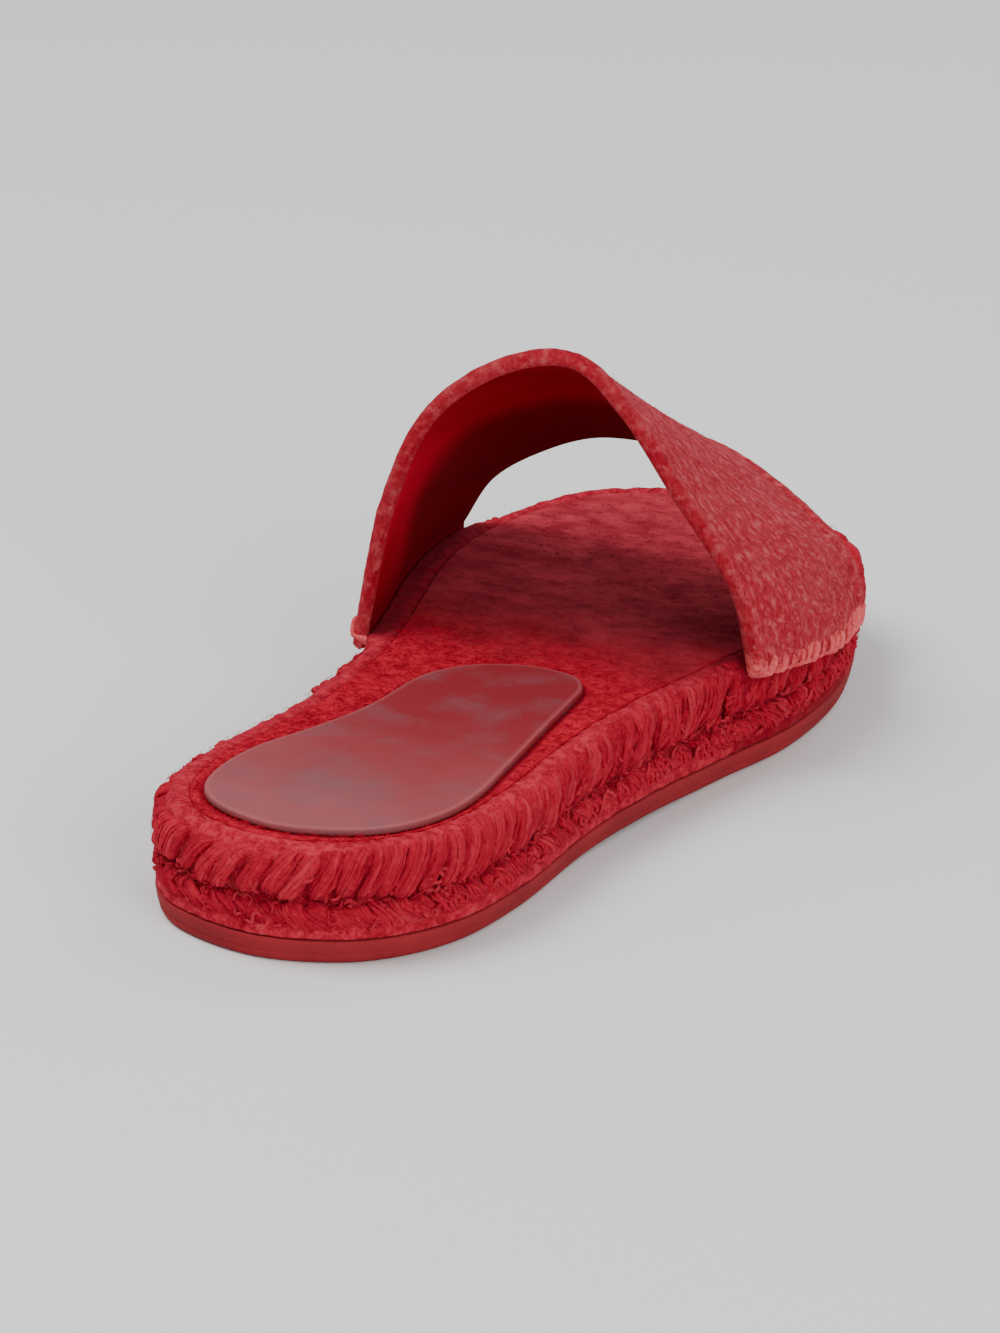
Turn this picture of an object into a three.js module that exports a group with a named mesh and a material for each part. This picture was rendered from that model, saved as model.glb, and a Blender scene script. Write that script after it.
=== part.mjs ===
// Espadrille slide, right shoe: a rubber-soled rope sole with one wide cloth band over the instep.
// Millimetres, +Z up, +Y towards the toe, +X towards the outer (little toe) side.
import * as THREE from "three";

// Overall sizes of the sole
const soleLength = 245;
const heelWidth = 70.4;
const waistWidth = 66.7;
const ballWidth = 93.8;
const heelHeight = 23.9;
const ballHeight = 24.8;
const archLift = 0.8;
const toeSpring = 2.5;

// Layers of the sole
const rubberThickness = 5.2;
const rubberTreadInset = 1.6;
const rubberEdgeRadius = 1.4;
const rubberInset = 0.8;
const ropeStrandPitch = 4.9;
const ropeStrandDepth = 0.9;
const ropeStrandLean = 5.2;
const ropeGrooveDepth = 1.9;
const ropeFootInset = 2.2;
const ropeRimWidth = 6.8;
const ropeRimRadius = 3.2;
const seatDepth = 2.7;

// Footbed
const insoleThickness = 2.1;
const insoleEdgeRadius = 0.7;
const padThickness = 0.9;
const padLength = 106.5;
const padHeelWidth = 50.8;
const padFrontWidth = 32.8;
const padMargin = 10.6;

// Band: the whole upper, one cloth wall with folded and stitched edges
const bandWall = 3.0;
const bandFoldWidth = 4.2;
const bandFoldStep = 0.5;
const bandLapBack = 0.9;
const bandLapFront = 6.8;
const bandSeat = 0.9;
const instepHeight = 66.5;
const toeOpeningHeight = 27.3;
const bandSwell = 2.4;

// Clearance between sewn or glued layers, and where the shoe stands
const clearance = 0.3;
const heelSeatCentre = 40;
const padRingPoints = 64;

// Outline of the sole: a row for each section from the heel to the toe. along is a share of
// soleLength, outer and inner are half widths as shares of the width that the row follows.
const outlineRows = [
  { along: 0.022, of: heelWidth, outer: 0.243, inner: 0.27 },
  { along: 0.06, of: heelWidth, outer: 0.378, inner: 0.403 },
  { along: 0.12, of: heelWidth, outer: 0.474, inner: 0.48 },
  { along: 0.21, of: heelWidth, outer: 0.513, inner: 0.487 },
  { along: 0.33, of: waistWidth, outer: 0.537, inner: 0.463 },
  { along: 0.45, of: waistWidth, outer: 0.577, inner: 0.478 },
  { along: 0.56, of: ballWidth, outer: 0.449, inner: 0.401 },
  { along: 0.66, of: ballWidth, outer: 0.499, inner: 0.466 },
  { along: 0.75, of: ballWidth, outer: 0.5, inner: 0.5 },
  { along: 0.82, of: ballWidth, outer: 0.474, inner: 0.49 },
  { along: 0.89, of: ballWidth, outer: 0.418, inner: 0.441 },
  { along: 0.945, of: ballWidth, outer: 0.336, inner: 0.363 },
  { along: 0.985, of: ballWidth, outer: 0.205, inner: 0.198 },
];
const toeShift = 0.02 * ballWidth;

// Where the tread leaves the floor and where the sole grows thicker, as shares of soleLength
const treadSpan = { archStart: 0.28, archTop: 0.4, archFall: 0.44, archEnd: 0.56, toeStart: 0.8 };
const heightSpan = { heel: 0.2, ball: 0.7 };

// Rings of the rope's side, from its foot up over the rim. Each lies between two of the levels
// base, groove, shoulder, rim and floor, at a share of the way. inset is a share of the size in of,
// ribs a share of ropeStrandDepth, lean of ropeStrandLean and seat of bandSeat.
const ropeRows = [
  { from: "base", to: "groove", at: 0, inset: 1, of: ropeFootInset, ribs: 1, lean: 0, seat: 0 },
  { from: "base", to: "groove", at: 0.25, inset: 0.33, of: ropeStrandDepth, ribs: 1, lean: 0.25, seat: 0 },
  { from: "base", to: "groove", at: 0.7, inset: 0.22, of: ropeStrandDepth, ribs: 1, lean: 0.7, seat: 0 },
  { from: "groove", to: "shoulder", at: 0, inset: 1, of: ropeGrooveDepth, ribs: 0, lean: 1, seat: 0 },
  { from: "groove", to: "shoulder", at: 0.3, inset: 0.22, of: ropeStrandDepth, ribs: 1, lean: 0.7, seat: 0.7 },
  { from: "groove", to: "shoulder", at: 0.7, inset: 0, of: ropeStrandDepth, ribs: 1, lean: 0.35, seat: 1 },
  { from: "shoulder", to: "rim", at: 0, inset: 0.33, of: ropeStrandDepth, ribs: 1, lean: 0.15, seat: 1 },
  { from: "shoulder", to: "rim", at: 0.7, inset: 0.45, of: ropeRimRadius, ribs: 1, lean: 0, seat: 1 },
  { from: "shoulder", to: "rim", at: 1, inset: 1, of: ropeRimRadius, ribs: 0.6, lean: 0, seat: 0.5 },
  { from: "shoulder", to: "rim", at: 0.8, inset: 0.91, of: ropeRimWidth, ribs: 0, lean: 0, seat: 0 },
  { from: "floor", to: "rim", at: 0, inset: 1, of: ropeRimWidth, ribs: 0, lean: 0, seat: 0 },
];
const grooveShare = 0.44;

// Outline of the heel pad: along is a share of padLength, outer and inner are shares of its width.
const padRows = [
  { along: 0.025, of: padHeelWidth, outer: 0.2, inner: 0.22 },
  { along: 0.07, of: padHeelWidth, outer: 0.346, inner: 0.362 },
  { along: 0.13, of: padHeelWidth, outer: 0.443, inner: 0.437 },
  { along: 0.23, of: padHeelWidth, outer: 0.516, inner: 0.47 },
  { along: 0.35, of: padHeelWidth, outer: 0.528, inner: 0.449 },
  { along: 0.5, of: padHeelWidth, outer: 0.498, inner: 0.35 },
  { along: 0.67, of: padFrontWidth, outer: 0.723, inner: 0.396 },
  { along: 0.85, of: padFrontWidth, outer: 0.68, inner: 0.32 },
  { along: 0.933, of: padFrontWidth, outer: 0.64, inner: 0.168 },
  { along: 0.984, of: padFrontWidth, outer: 0.518, inner: -0.055 },
];
const padToeShift = 0.29 * padFrontWidth;

// Where the band's two edges meet the sole and where they cross the instep, as shares of soleLength
const bandFoot = {
  outer: { back: 0.586, front: 0.798 },
  inner: { back: 0.498, front: 0.808 },
  crest: { back: 0.473, front: 0.778 },
};

// The band's arch, a row for each section from its outer foot over the instep to its inner foot.
// across runs from 1 at the outer foot to -1 at the inner foot, rise is a share of the crest's
// height, and swell is a share of bandSwell.
const archRows = [
  { backAcross: 1, backRise: 0, frontAcross: 1, frontRise: 0, swell: 0 },
  { backAcross: 0.955, backRise: 0.271, frontAcross: 0.941, frontRise: 0.289, swell: 0.08 },
  { backAcross: 0.688, backRise: 0.585, frontAcross: 0.686, frontRise: 0.678, swell: 0.1 },
  { backAcross: 0.438, backRise: 0.862, frontAcross: 0.373, frontRise: 0.945, swell: 0.2 },
  { backAcross: 0.205, backRise: 1, frontAcross: 0.039, frontRise: 1, swell: 0.25 },
  { backAcross: -0.178, backRise: 0.943, frontAcross: -0.279, frontRise: 0.956, swell: 0.5 },
  { backAcross: -0.588, backRise: 0.751, frontAcross: -0.57, frontRise: 0.74, swell: 1 },
  { backAcross: -0.827, backRise: 0.448, frontAcross: -0.825, frontRise: 0.436, swell: 0.6 },
  { backAcross: -1, backRise: 0, frontAcross: -1, frontRise: 0, swell: 0 },
];
const crestRow = 4;

const mix = THREE.MathUtils.lerp;
const smooth = THREE.MathUtils.smoothstep;

// Closed outline through the rows, as a ring of points at even steps: point 0 is the heel's tip,
// the middle point is the toe's tip, and the ring runs up the outer side.
function makeOutline(rows, length, start, toeShift, count) {
  const at = (row, side) => {
    const half = side > 0 ? row.outer : row.inner;
    return new THREE.Vector3(side * half * row.of, start + row.along * length, 0);
  };
  const tips = [new THREE.Vector3(0, start, 0), new THREE.Vector3(toeShift, start + length, 0)];
  const points = [tips[0], ...rows.map((row) => at(row, 1)), tips[1]];
  points.push(...rows.map((row) => at(row, -1)).reverse());
  const curve = new THREE.CatmullRomCurve3(points, true, "centripetal");
  const fine = 1200;
  const samples = curve.getPoints(fine);
  const half = fine / 2;
  return [...evenSteps(samples.slice(0, half + 1), count / 2), ...evenSteps(samples.slice(half), count / 2)];
}

// Points at even distances along a chain of samples, without its last point.
function evenSteps(samples, count) {
  const lengths = [0];
  for (let i = 1; i < samples.length; i += 1) {
    lengths.push(lengths[i - 1] + samples[i].distanceTo(samples[i - 1]));
  }
  const total = lengths[lengths.length - 1];
  const steps = [];
  let k = 1;
  for (let i = 0; i < count; i += 1) {
    const wanted = (total * i) / count;
    while (lengths[k] < wanted) k += 1;
    const share = (wanted - lengths[k - 1]) / (lengths[k] - lengths[k - 1]);
    steps.push(samples[k - 1].clone().lerp(samples[k], share));
  }
  return steps;
}

// A point of a ring at any place along it, counted in ring steps, set in from the edge.
function ringPoint(outline, place, inset) {
  const n = outline.length;
  const low = Math.floor(place);
  const pick = (i) => outline[((i % n) + n) % n];
  const point = pick(low).clone().lerp(pick(low + 1), place - low);
  const before = pick(low - 1).clone().lerp(pick(low), place - low);
  const after = pick(low + 1).clone().lerp(pick(low + 2), place - low);
  const along = after.sub(before).normalize();
  point.x -= along.y * inset;
  point.y += along.x * inset;
  return point;
}

// Length of a closed ring of points.
function ringLength(ring) {
  return ring.reduce((sum, point, i) => sum + point.distanceTo(ring[(i + 1) % ring.length]), 0);
}

// The sole's outline has two points to each strand of the rope: a crest and a valley.
const roughCount = 400;
const perimeter = ringLength(makeOutline(outlineRows, soleLength, 0, toeShift, roughCount));
const strandPairs = Math.round(perimeter / ropeStrandPitch / 2);
const ringPoints = 4 * strandPairs;
const outline = makeOutline(outlineRows, soleLength, 0, toeShift, ringPoints);

// Height of the tread above the floor: flat under the heel and the ball, lifted at arch and toe.
function floorLift(y) {
  const t = y / soleLength;
  const { archStart, archTop, archFall, archEnd, toeStart } = treadSpan;
  const arch = archLift * smooth(t, archStart, archTop) * (1 - smooth(t, archFall, archEnd));
  const toe = Math.max(0, (t - toeStart) / (1 - toeStart));
  return arch + toeSpring * toe * toe;
}

// Lifts a height of the sole by the tread's lift and by the rise from heel to ball.
function soleLevel(y, height) {
  const full = mix(heelHeight, ballHeight, smooth(y / soleLength, heightSpan.heel, heightSpan.ball));
  return floorLift(y) + (height * full) / ballHeight;
}

// Half width of the sole at y on one side, read off the outline.
function sideAt(y, side) {
  const half = ringPoints / 2;
  for (let k = 1; k <= half; k += 1) {
    const a = outline[side > 0 ? k - 1 : (ringPoints - k + 1) % ringPoints];
    const b = outline[side > 0 ? k : (ringPoints - k) % ringPoints];
    if (b.y >= y) return mix(a.x, b.x, (y - a.y) / (b.y - a.y));
  }
  return 0;
}

// A mesh from flat lists of corners and triangles.
function makeMesh(name, corners, triangles, color, roughness) {
  const geometry = new THREE.BufferGeometry();
  geometry.setAttribute("position", new THREE.Float32BufferAttribute(corners, 3));
  geometry.setIndex(triangles);
  geometry.computeVertexNormals();
  const material = new THREE.MeshStandardMaterial({ color, roughness, metalness: 0 });
  const mesh = new THREE.Mesh(geometry, material);
  mesh.name = name;
  return mesh;
}

// A closed solid lofted through rings that share one count: the first ring is closed by a face
// that looks down, the last by one that looks up. A face is a ladder of strips across the shoe.
function loftRings(name, rings, color, roughness) {
  const n = rings[0].length;
  const corners = rings.flat().flatMap((p) => [p.x, p.y, p.z]);
  const triangles = [];
  for (let j = 0; j + 1 < rings.length; j += 1) {
    for (let i = 0; i < n; i += 1) {
      const a = j * n + i;
      const b = j * n + ((i + 1) % n);
      triangles.push(a, b, b + n, a, b + n, a + n);
    }
  }
  const ladder = (first, up) => {
    for (let k = 0; k < n / 2; k += 1) {
      const outer = [first + k, first + k + 1];
      const inner = [first + ((n - k) % n), first + n - k - 1];
      const strips = [];
      if (k > 0) strips.push([inner[0], outer[0], outer[1]]);
      if (k + 1 < n / 2) strips.push([inner[0], outer[1], inner[1]]);
      strips.forEach(([a, b, c]) => triangles.push(...(up ? [a, b, c] : [a, c, b])));
    }
  };
  ladder(0, false);
  ladder((rings.length - 1) * n, true);
  return makeMesh(name, corners, triangles, color, roughness);
}

// One ring of the sole at a height and inset. ribs sets its valleys in, lean slides it along.
function soleRing(height, inset, ribs = 0, lean = 0, seat = 0) {
  const step = perimeter / ringPoints;
  return outline.map((_, i) => {
    const valley = i % 2 ? ribs : 0;
    const under = seat * bandCover(outline[i]);
    const point = ringPoint(outline, i + lean / step, inset + valley + under);
    point.z = soleLevel(point.y, height);
    return point;
  });
}

// 1 where a foot of the band lies against the side of the sole, falling to 0 just past its edges.
function bandCover(point) {
  const foot = point.x > 0 ? bandFoot.outer : bandFoot.inner;
  const fade = 2 * clearance + ropeStrandPitch;
  const past = Math.max(foot.back * soleLength - point.y, point.y - foot.front * soleLength);
  return 1 - smooth(past, clearance, fade);
}

// Outsole: rubber sheet with a rounded tread edge and a low wall
function makeOutsole() {
  const halfway = rubberEdgeRadius * (1 - Math.SQRT1_2);
  const bulge = { up: 0.5, out: 0.8 };
  const rings = [
    soleRing(0, rubberTreadInset + rubberEdgeRadius),
    soleRing(halfway, rubberTreadInset + halfway),
    soleRing(rubberEdgeRadius, rubberTreadInset),
    soleRing(mix(rubberEdgeRadius, rubberThickness, bulge.up), mix(rubberTreadInset, rubberInset, bulge.out)),
    soleRing(rubberThickness, rubberInset),
  ];
  return loftRings("outsole", rings.map((ring) => ring.filter((_, i) => i % 2 === 0)), 0xa5232a, 0.6);
}

// Rope sole: a thick plait on edge. Its strands lean one way below the middle groove and the
// other way above it, then turn over the rim, which stands round the seat of the insole.
function makeRopeSole() {
  const base = rubberThickness + clearance;
  const levels = {
    base,
    groove: mix(base, ballHeight, grooveShare),
    shoulder: ballHeight - ropeRimRadius,
    rim: ballHeight,
    floor: ballHeight - seatDepth,
  };
  const rings = ropeRows.map((row) => {
    const height = mix(levels[row.from], levels[row.to], row.at);
    const ribs = row.ribs * ropeStrandDepth;
    return soleRing(height, row.inset * row.of, ribs, -row.lean * ropeStrandLean, row.seat * bandSeat);
  });
  return loftRings("rope_sole", rings, 0xb92d35, 0.9);
}

// Insole: cloth-covered board inside the rim
function makeInsole() {
  const bottom = ballHeight - seatDepth + clearance;
  const top = bottom + insoleThickness;
  const inset = ropeRimWidth + clearance;
  const rings = [
    soleRing(bottom, inset),
    soleRing(top - insoleEdgeRadius, inset),
    soleRing(top, inset + insoleEdgeRadius),
  ];
  return loftRings("insole", rings.map((ring) => ring.filter((_, i) => i % 2 === 0)), 0x96141f, 0.95);
}

// Heel pad: thin leather on the insole, narrowing under the arch
function makeHeelPad() {
  const shape = makeOutline(padRows, padLength, padMargin, padToeShift, padRingPoints);
  const bottom = ballHeight - seatDepth + insoleThickness + 2 * clearance;
  const level = (height, inset) =>
    shape.map((_, i) => {
      const point = ringPoint(shape, i, inset);
      point.z = soleLevel(point.y, height);
      return point;
    });
  const top = bottom + padThickness;
  const bevel = padThickness * 0.4;
  const rings = [level(bottom, 0), level(top - bevel, 0), level(top, bevel)];
  return loftRings("heel_pad", rings, 0x964b4b, 0.55);
}

// One edge of the band over the instep, as a smooth curve from the outer to the inner foot.
function bandEdge(edge, height) {
  const feet = [1, -1].map((side) => {
    const y = (side > 0 ? bandFoot.outer : bandFoot.inner)[edge] * soleLength;
    return new THREE.Vector3(sideAt(y, side) - side * (bandSeat - clearance), y, rimLevel(y));
  });
  const middle = (feet[0].x + feet[1].x) / 2;
  const reach = (feet[0].x - feet[1].x) / 2;
  const points = archRows.map((row, i) => {
    const foot = feet[i <= crestRow ? 0 : 1];
    const rise = row[`${edge}Rise`];
    const y = mix(foot.y, bandFoot.crest[edge] * soleLength, rise);
    return new THREE.Vector3(middle + reach * row[`${edge}Across`], y, foot.z + height * rise);
  });
  return new THREE.CatmullRomCurve3(points, false, "centripetal");
}

function rimLevel(y) {
  return soleLevel(y, ballHeight);
}

// Inner face of the band at u from the outer to the inner foot and v from back to front edge.
// Between the two edges the cloth swells a little, and its feet follow the side of the sole.
function bandPoint(back, front, u, v) {
  const point = back.getPoint(u).lerp(front.getPoint(u), v);
  const place = u * (archRows.length - 1);
  const low = Math.min(Math.floor(place), archRows.length - 2);
  const swell = mix(archRows[low].swell, archRows[low + 1].swell, smooth(place - low, 0, 1));
  const bulge = 4 * v * (1 - v) * bandSwell * swell;
  const lean = Math.PI * (u - 0.5);
  point.x -= Math.sin(lean) * bulge;
  point.z += Math.cos(lean) * bulge;
  const side = u < 0.5 ? 1 : -1;
  const end = side > 0 ? 0 : 1;
  const footY = mix(back.getPoint(end).y, front.getPoint(end).y, v);
  const straight = mix(back.getPoint(end).x, front.getPoint(end).x, v);
  const follow = sideAt(footY, side) - side * (bandSeat - clearance) - straight;
  const footShare = 0.3;
  const near = 1 - smooth(Math.abs(u - end), 0, footShare);
  point.x += follow * near;
  point.z += (rimLevel(footY) - mix(back.getPoint(end).z, front.getPoint(end).z, v)) * near;
  return point;
}

// Upper: the band as one hollow arch, with its two edges folded over and raised, and its feet
// lapped down over the rim of the rope sole.
function makeUpper() {
  const back = bandEdge("back", instepHeight);
  const front = bandEdge("front", toeOpeningHeight);
  const width = back.getPoint(0.5).distanceTo(front.getPoint(0.5));
  const fold = bandFoldWidth / width;
  const seam = fold * 1.2;
  const columns = [0, fold * 0.5, fold, seam];
  const plain = 7;
  for (let k = 1; k < plain; k += 1) columns.push(mix(seam, 1 - seam, k / plain));
  columns.push(1 - seam, 1 - fold, 1 - fold * 0.5, 1);
  const raised = (v) => (v <= fold || v >= 1 - fold ? bandFoldStep : 0);

  const span = 40;
  const rows = [];
  for (let k = 0; k <= span; k += 1) rows.push(k / span);
  const inner = rows.map((u) => columns.map((v) => bandPoint(back, front, u, v)));
  const faceOut = (i, j) => {
    const across = inner[Math.min(i + 1, span)][j].clone().sub(inner[Math.max(i - 1, 0)][j]);
    const last = columns.length - 1;
    const along = inner[i][Math.min(j + 1, last)].clone().sub(inner[i][Math.max(j - 1, 0)]);
    return along.cross(across).normalize();
  };
  const outer = inner.map((row, i) =>
    row.map((point, j) => point.clone().addScaledVector(faceOut(i, j), bandWall + raised(columns[j]))),
  );

  // The feet drop straight down the side of the sole from the first and last rows, less at the back.
  const lap = (j) => mix(bandLapBack, bandLapFront, columns[j]);
  const drop = (row) => row.map((point, j) => point.clone().setZ(point.z - lap(j)));
  const level = (row, like) => row.map((point, j) => point.clone().setZ(like[j].z));
  outer[0] = level(outer[0], inner[0]);
  outer[span] = level(outer[span], inner[span]);
  const innerAll = [drop(inner[0]), ...inner, drop(inner[span])];
  const outerAll = [drop(outer[0]), ...outer, drop(outer[span])];
  return closeWall("upper", innerAll, outerAll, 0xaa3c41, 0.95);
}

// Closes two matching grids of points into one wall: outer face, inner face and the rim between.
function closeWall(name, inner, outer, color, roughness) {
  const wide = inner[0].length;
  const tall = inner.length;
  const corners = [...inner.flat(), ...outer.flat()].flatMap((p) => [p.x, p.y, p.z]);
  const first = wide * tall;
  const at = (i, j) => i * wide + j;
  const triangles = [];
  const quad = (a, b, c, d) => triangles.push(a, b, c, a, c, d);
  for (let i = 0; i + 1 < tall; i += 1) {
    for (let j = 0; j + 1 < wide; j += 1) {
      quad(at(i, j), at(i + 1, j), at(i + 1, j + 1), at(i, j + 1));
      quad(first + at(i, j), first + at(i, j + 1), first + at(i + 1, j + 1), first + at(i + 1, j));
    }
    const last = wide - 1;
    quad(at(i, 0), first + at(i, 0), first + at(i + 1, 0), at(i + 1, 0));
    quad(at(i + 1, last), first + at(i + 1, last), first + at(i, last), at(i, last));
  }
  for (let j = 0; j + 1 < wide; j += 1) {
    const last = tall - 1;
    quad(at(0, j), at(0, j + 1), first + at(0, j + 1), first + at(0, j));
    quad(at(last, j), first + at(last, j), first + at(last, j + 1), at(last, j + 1));
  }
  return makeMesh(name, corners, triangles, color, roughness);
}

// The shoe stands with the centre of its heel seat at the origin.
const lasted = new THREE.Group();
lasted.position.y = -heelSeatCentre;
lasted.add(makeOutsole(), makeRopeSole(), makeInsole(), makeHeelPad(), makeUpper());

const shoe = new THREE.Group();
shoe.add(lasted);

export default shoe;
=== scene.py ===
"""Espadrille slide: plaited rope sole on rubber, cloth footbed with a leather heel pad, one wide band.

Lengths are millimetres from the back of the heel until a mesh is made, which puts them in metres
in the frame of the solids: +Y to the toe, +Z up, +X to the outer side of a right foot.
"""

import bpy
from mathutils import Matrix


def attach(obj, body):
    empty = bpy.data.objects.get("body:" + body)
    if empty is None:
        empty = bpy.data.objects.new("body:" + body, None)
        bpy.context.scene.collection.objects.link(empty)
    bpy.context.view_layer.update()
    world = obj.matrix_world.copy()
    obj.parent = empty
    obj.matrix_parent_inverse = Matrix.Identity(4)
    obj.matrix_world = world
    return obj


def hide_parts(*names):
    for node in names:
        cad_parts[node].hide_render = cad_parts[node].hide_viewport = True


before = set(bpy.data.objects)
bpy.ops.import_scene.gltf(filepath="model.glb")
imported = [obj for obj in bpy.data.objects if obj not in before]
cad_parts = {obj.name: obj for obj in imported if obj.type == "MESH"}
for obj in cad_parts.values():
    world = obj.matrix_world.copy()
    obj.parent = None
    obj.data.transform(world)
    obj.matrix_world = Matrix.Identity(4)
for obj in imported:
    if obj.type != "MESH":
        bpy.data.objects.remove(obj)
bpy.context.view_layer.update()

import logging
import math
from dataclasses import dataclass, field
from enum import Enum

import bmesh
import bpy
import numpy as np
from mathutils import Matrix, Vector

LOG = logging.getLogger("slide")
MM = 0.001
MAP_UNIT = 10.0
Array = np.ndarray
Socket = bpy.types.NodeSocket
Color = tuple[float, float, float, float]


class Course(Enum):
    """The two rows of strands that show on the side of the rope sole."""

    UPPER = "upper"
    LOWER = "lower"


def srgb(red: float, green: float, blue: float) -> Color:
    """Turns a screen colour, 0 to 255, into a linear one.

    Args:
        red, green, blue: parts of the screen colour.

    Returns:
        Linear red, green, blue and an alpha of 1.
    """
    parts = [value / 255 for value in (red, green, blue)]
    linear = [p / 12.92 if p <= 0.04045 else ((p + 0.055) / 1.055) ** 2.4 for p in parts]
    return (linear[0], linear[1], linear[2], 1.0)


ROPE_SHEEN = srgb(255, 120, 150)


def smooth(value: Array, low: float, high: float) -> Array:
    """Smooth step: 0 below low, 1 above high, 3t^2 - 2t^3 between them."""
    t = np.clip((value - low) / (high - low), 0, 1)
    return t * t * (3 - 2 * t)


def unit(vectors: Array) -> Array:
    """Vectors divided by their lengths."""
    return vectors / (np.linalg.norm(vectors, axis=-1, keepdims=True) + 1e-12)


def catmull_rom(points: Array, share: Array, closed: bool) -> Array:
    """Centripetal Catmull-Rom curve through points.

    On each stretch the curve is the cubic with the tangents that uneven knots give, each knot
    step being the square root of the distance between its two points.

    Args:
        points: corner points, one row each.
        share: places along the curve, 0 to 1, with even steps between points.
        closed: whether the last point leads back to the first.

    Returns:
        One row for each place.
    """
    if closed:
        rows = np.vstack([points[-1:], points, points[:2]])
        spans = len(points)
    else:
        rows = np.vstack([2 * points[:1] - points[1:2], points, 2 * points[-1:] - points[-2:-1]])
        spans = len(points) - 1
    place = np.clip(np.asarray(share) * spans, 0, spans - 1e-9)
    low = place.astype(int)
    t = (place - low)[..., None]
    before, first, second, after = (rows[low + k] for k in range(4))
    gaps = [np.sqrt(np.linalg.norm(b - a, axis=-1, keepdims=True)) for a, b in
            ((before, first), (first, second), (second, after))]
    step0, step1, step2 = (np.maximum(gap, 1e-4) for gap in gaps)
    leave = ((first - before) / step0 - (second - before) / (step0 + step1)
             + (second - first) / step1) * step1
    arrive = ((second - first) / step1 - (after - first) / (step1 + step2)
              + (after - second) / step2) * step1
    cubic = 2 * first - 2 * second + leave + arrive
    square = -3 * first + 3 * second - 2 * leave - arrive
    return first + t * (leave + t * (square + t * cubic))


def value_noise(points: Array, size: float, seed: int) -> Array:
    """Smooth random heights from -1 to 1, one random value at each knot of a lattice.

    Between knots the value is mixed along all three axes with smooth steps.

    Args:
        points: places, with x, y, z last.
        size: spacing of the lattice, in the units of points.
        seed: picks the lattice.

    Returns:
        One height for each place.
    """
    knots, shift = 32, 500.0
    grid = np.random.default_rng(seed).uniform(-1, 1, (knots, knots, knots))
    place = points / size + shift
    low = np.floor(place).astype(int)
    t = place - low
    t = t * t * (3 - 2 * t)
    total = np.zeros(points.shape[:-1])
    for i, j, k in np.ndindex(2, 2, 2):
        knot = grid[(low[..., 0] + i) % knots, (low[..., 1] + j) % knots, (low[..., 2] + k) % knots]
        weight = np.abs(1 - i - t[..., 0]) * np.abs(1 - j - t[..., 1]) * np.abs(1 - k - t[..., 2])
        total += knot * weight
    return total


def distance_to(points: Array, ring: Array) -> Array:
    """Level distance from points to the nearest point of a ring.

    Args:
        points: places, with x, y first.
        ring: points (n, 2).

    Returns:
        One distance for each place.
    """
    flat = points[..., :2].reshape(-1, 2)
    nearest = [np.min(np.linalg.norm(part[:, None] - ring[None], axis=-1), axis=1)
               for part in np.array_split(flat, max(1, len(flat) // 4000))]
    return np.concatenate(nearest).reshape(points.shape[:-1])


def ring_tangent(ring: Array) -> Array:
    """Direction of travel at each point of a closed ring: from the point before to the one after."""
    return unit(np.roll(ring, -1, axis=0) - np.roll(ring, 1, axis=0))


def rounded_edge(inset: float, top: float, radius: float) -> list[tuple[float, float]]:
    """Insets and heights up a rounded upper edge: a quarter circle of a radius, ending at top."""
    turn = np.linspace(0, math.pi / 2, 6)
    return [(inset + radius * (1 - math.cos(a)), top - radius * (1 - math.sin(a))) for a in turn]


def add_object(name: str, data: bpy.types.ID) -> bpy.types.Object:
    """Puts a new object with its data in the scene."""
    made = bpy.data.objects.new(name, data)
    bpy.context.scene.collection.objects.link(made)
    return made


def close_seams(mesh: bpy.types.Mesh) -> None:
    """Joins corners that lie in one place, drops faces of no size and turns the rest outwards.

    Args:
        mesh: the mesh, which is changed.
    """
    shell = bmesh.new()
    shell.from_mesh(mesh)
    bmesh.ops.remove_doubles(shell, verts=shell.verts, dist=2e-6)
    bmesh.ops.dissolve_degenerate(shell, dist=1e-7, edges=shell.edges)
    bmesh.ops.recalc_face_normals(shell, faces=shell.faces)
    shell.to_mesh(mesh)
    shell.free()


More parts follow.
